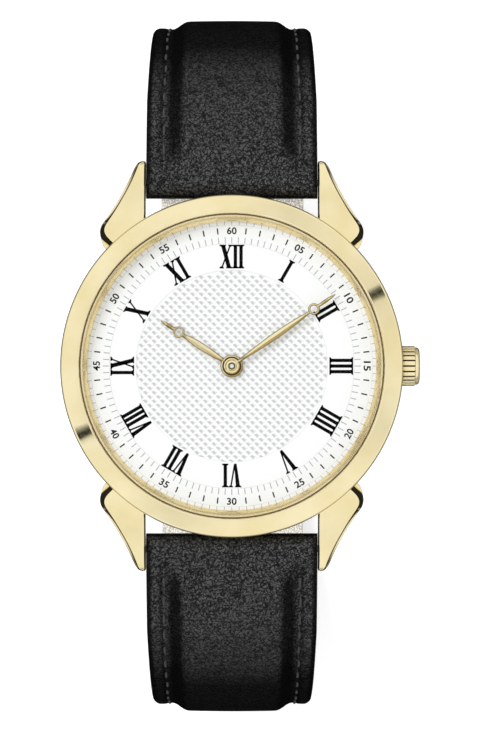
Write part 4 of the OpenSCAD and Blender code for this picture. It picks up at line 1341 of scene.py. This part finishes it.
def buckle_tongue():
    """A strip wrapped round the bar and laid over the frame."""
    line = []                 # forward, outward
    for i in range(24):
        a = radians(250 - 160 * i / 23)
        line.append((0.86 * cos(a), 0.86 * sin(a)))
    line += [(1.2, 0.87), (2.5, 0.9), (4.2, 1.02), (6.0, 1.22), (7.4, 1.42), (8.6, 1.42),
             (9.5, 1.3), (9.9, 1.18)]
    t = 0.17                  # half thickness
    sections = []
    for (f, h), (nf, nh) in zip(line, left_normals(line)):
        # narrows at the tip
        w = 0.93 if f < 8.6 else 0.93 - 0.5 * ((f - 8.6) / 1.3) ** 2
        strip = [(-w + 0.1, -t), (w - 0.1, -t), (w, -t + 0.1), (w, t - 0.1), (w - 0.12, t),
                 (-w + 0.12, t), (-w, t - 0.1), (-w, -t + 0.1)]
        sections.append([on_short((x, f + nf * v, h + nh * v)) for x, v in strip])
    obj = Geo().loft(sections).build("pin_buckle_tongue", GOLD, "tongue", "polished_gold",
                                     sharp=40)
    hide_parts("buckle_tongue")


for long_half in (False, True):
    strap_upper(long_half)
    strap_lining(long_half)
    stitching(long_half)
keeper("keeper_fixed", "fixed_keeper", "strap_12", s=66)
keeper("keeper_free", "free_keeper", "free_keeper_b", s=56)
buckle_frame()
buckle_tongue()

# ---------------------------------------------------------------- CAD pieces
# the works keep their CAD shape; pieces not listed are steel
FINISH = {
    "crown_gasket": RUBBER, "caseback_gasket": RUBBER, "movement_holder": PLASTIC,
    "circuit_board": BOARD, "chip": CHIP, "battery_insulator": FILM, "coil": COPPER,
    "dial_washer": BRASS, "main_plate": BRASS, "train_bridge": BRASS, "centre_wheel": BRASS,
    "hour_wheel": BRASS, "minute_wheel": BRASS, "third_wheel": BRASS,
    "intermediate_wheel": BRASS, "battery": BACK, "cannon_pinion": cannon_gold(),
}
for node_name, node_object in NODES.items():
    node_object.data.materials.clear()
    node_object.data.materials.append(FINISH.get(node_name, STEEL))


# ---------------------------------------------------------------- floor, light, camera
def floor():
    m = Mat("floor_pale")
    patches = m.noise(scale=30, detail=3)
    m.drive("Base Color", m.mix(patches, (0.93, 0.93, 0.93), (0.96, 0.96, 0.96)))
    m.set(Roughness=0.9, Specular_IOR_Level=0.1, Emission_Color=(1, 1, 1, 1),
          Emission_Strength=0.35)
    mesh = bpy.data.meshes.new("floor")
    half = 3                  # metres
    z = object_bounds()[0][2] - 0.0002
    corners = [(-half, -half, z), (half, -half, z), (half, half, z), (-half, half, z)]
    mesh.from_pydata(corners, [], [(0, 1, 2, 3)])
    mesh.materials.append(m.material)
    obj = add_object("floor", mesh)
    obj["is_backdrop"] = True
    obj.visible_glossy = False


# brightness by height: (share of the way from straight down to straight up, grey)
SKY = [(0.0, 0.02), (0.19, 0.02), (0.25, 0.30), (0.42, 0.42), (0.50, 0.30), (0.56, 0.14),
       (0.63, 0.95), (0.78, 1.0), (0.93, 0.93), (1.0, 0.98)]
# narrow dark flags and broad soft dips round the horizon: (degrees from +X, grey)
FLAGS = [(-180, 0.98), (-158.6, 0.96), (-157.0, 0.03), (-154.6, 0.03), (-153.0, 0.96),
         (-130, 1.0), (-112, 0.84), (-92, 1.0), (-42, 1.0), (-22, 0.84), (-5, 0.96),
         (12, 0.93), (24.2, 0.84), (25.6, 0.03), (27.8, 0.03), (29.4, 0.84), (45, 0.97),
         (68, 0.84), (90, 1.0), (180, 0.98)]
# the flags only show at the heights the bezel cone mirrors: (z of the direction, strength)
FLAG_HEIGHTS = [(0.50, 0.0), (0.56, 1.0), (0.80, 1.0), (0.88, 0.0)]


def studio():
    world = bpy.data.worlds.new("studio")
    bpy.context.scene.world = world
    world.use_nodes = True
    world.node_tree.nodes.clear()
    t = Tree(world.node_tree)
    output = t.node("OutputWorld")
    background = t.node("Background")
    axes = t.split(t.node("TexCoord").outputs["Generated"])
    sky = t.ramp(t.remap(axes[2], span=(-1, 1), to=(0, 1)), SKY)
    around = t.remap(t.math("ARCTAN2", axes[1], axes[0]), span=(-pi, pi), to=(0, 1))
    flags = t.ramp(around, [((degrees + 180) / 360, grey) for degrees, grey in FLAGS])
    strength = t.ramp(axes[2], FLAG_HEIGHTS)
    t.link(t.mix(strength, sky, flags, blend="MULTIPLY"), background.inputs[0])
    background.inputs["Strength"].default_value = 1.0
    t.link(background.outputs[0], output.inputs[0])


def key_light():
    """Square soft light from the upper left, aimed at the origin."""
    light = bpy.data.lights.new("key", "AREA")
    light.shape = "RECTANGLE"
    light.size, light.size_y = 0.4, 0.4
    light.energy = 4.2
    obj = bpy.data.objects.new("key", light)
    obj.location = (-0.5, 0.45, 0.8)
    aim = Vector((0, 0, 0)) - Vector((-0.5, 0.45, 0.8))
    obj.rotation_euler = aim.to_track_quat("-Z", "Y").to_euler()
    bpy.context.scene.collection.objects.link(obj)
    obj.visible_glossy = False


def camera():
    """Long lens looking straight down at the dial."""
    scene = bpy.context.scene
    scene.view_settings.view_transform = "Standard"
    scene.view_settings.look = "None"
    data = bpy.data.cameras.new("camera")
    obj = add_object("camera", data)
    distance, view_width, sensor = 600.0, 85.6, 36.0
    data.lens = sensor * distance / view_width
    data.sensor_width = sensor
    data.clip_start = 0.01
    data.clip_end = 20
    # measured from the top of the bezel
    obj.location = (0.96 * MM, -0.23 * MM, (6.85 + distance) * MM)
    scene.camera = obj


floor()
studio()
key_light()
camera()
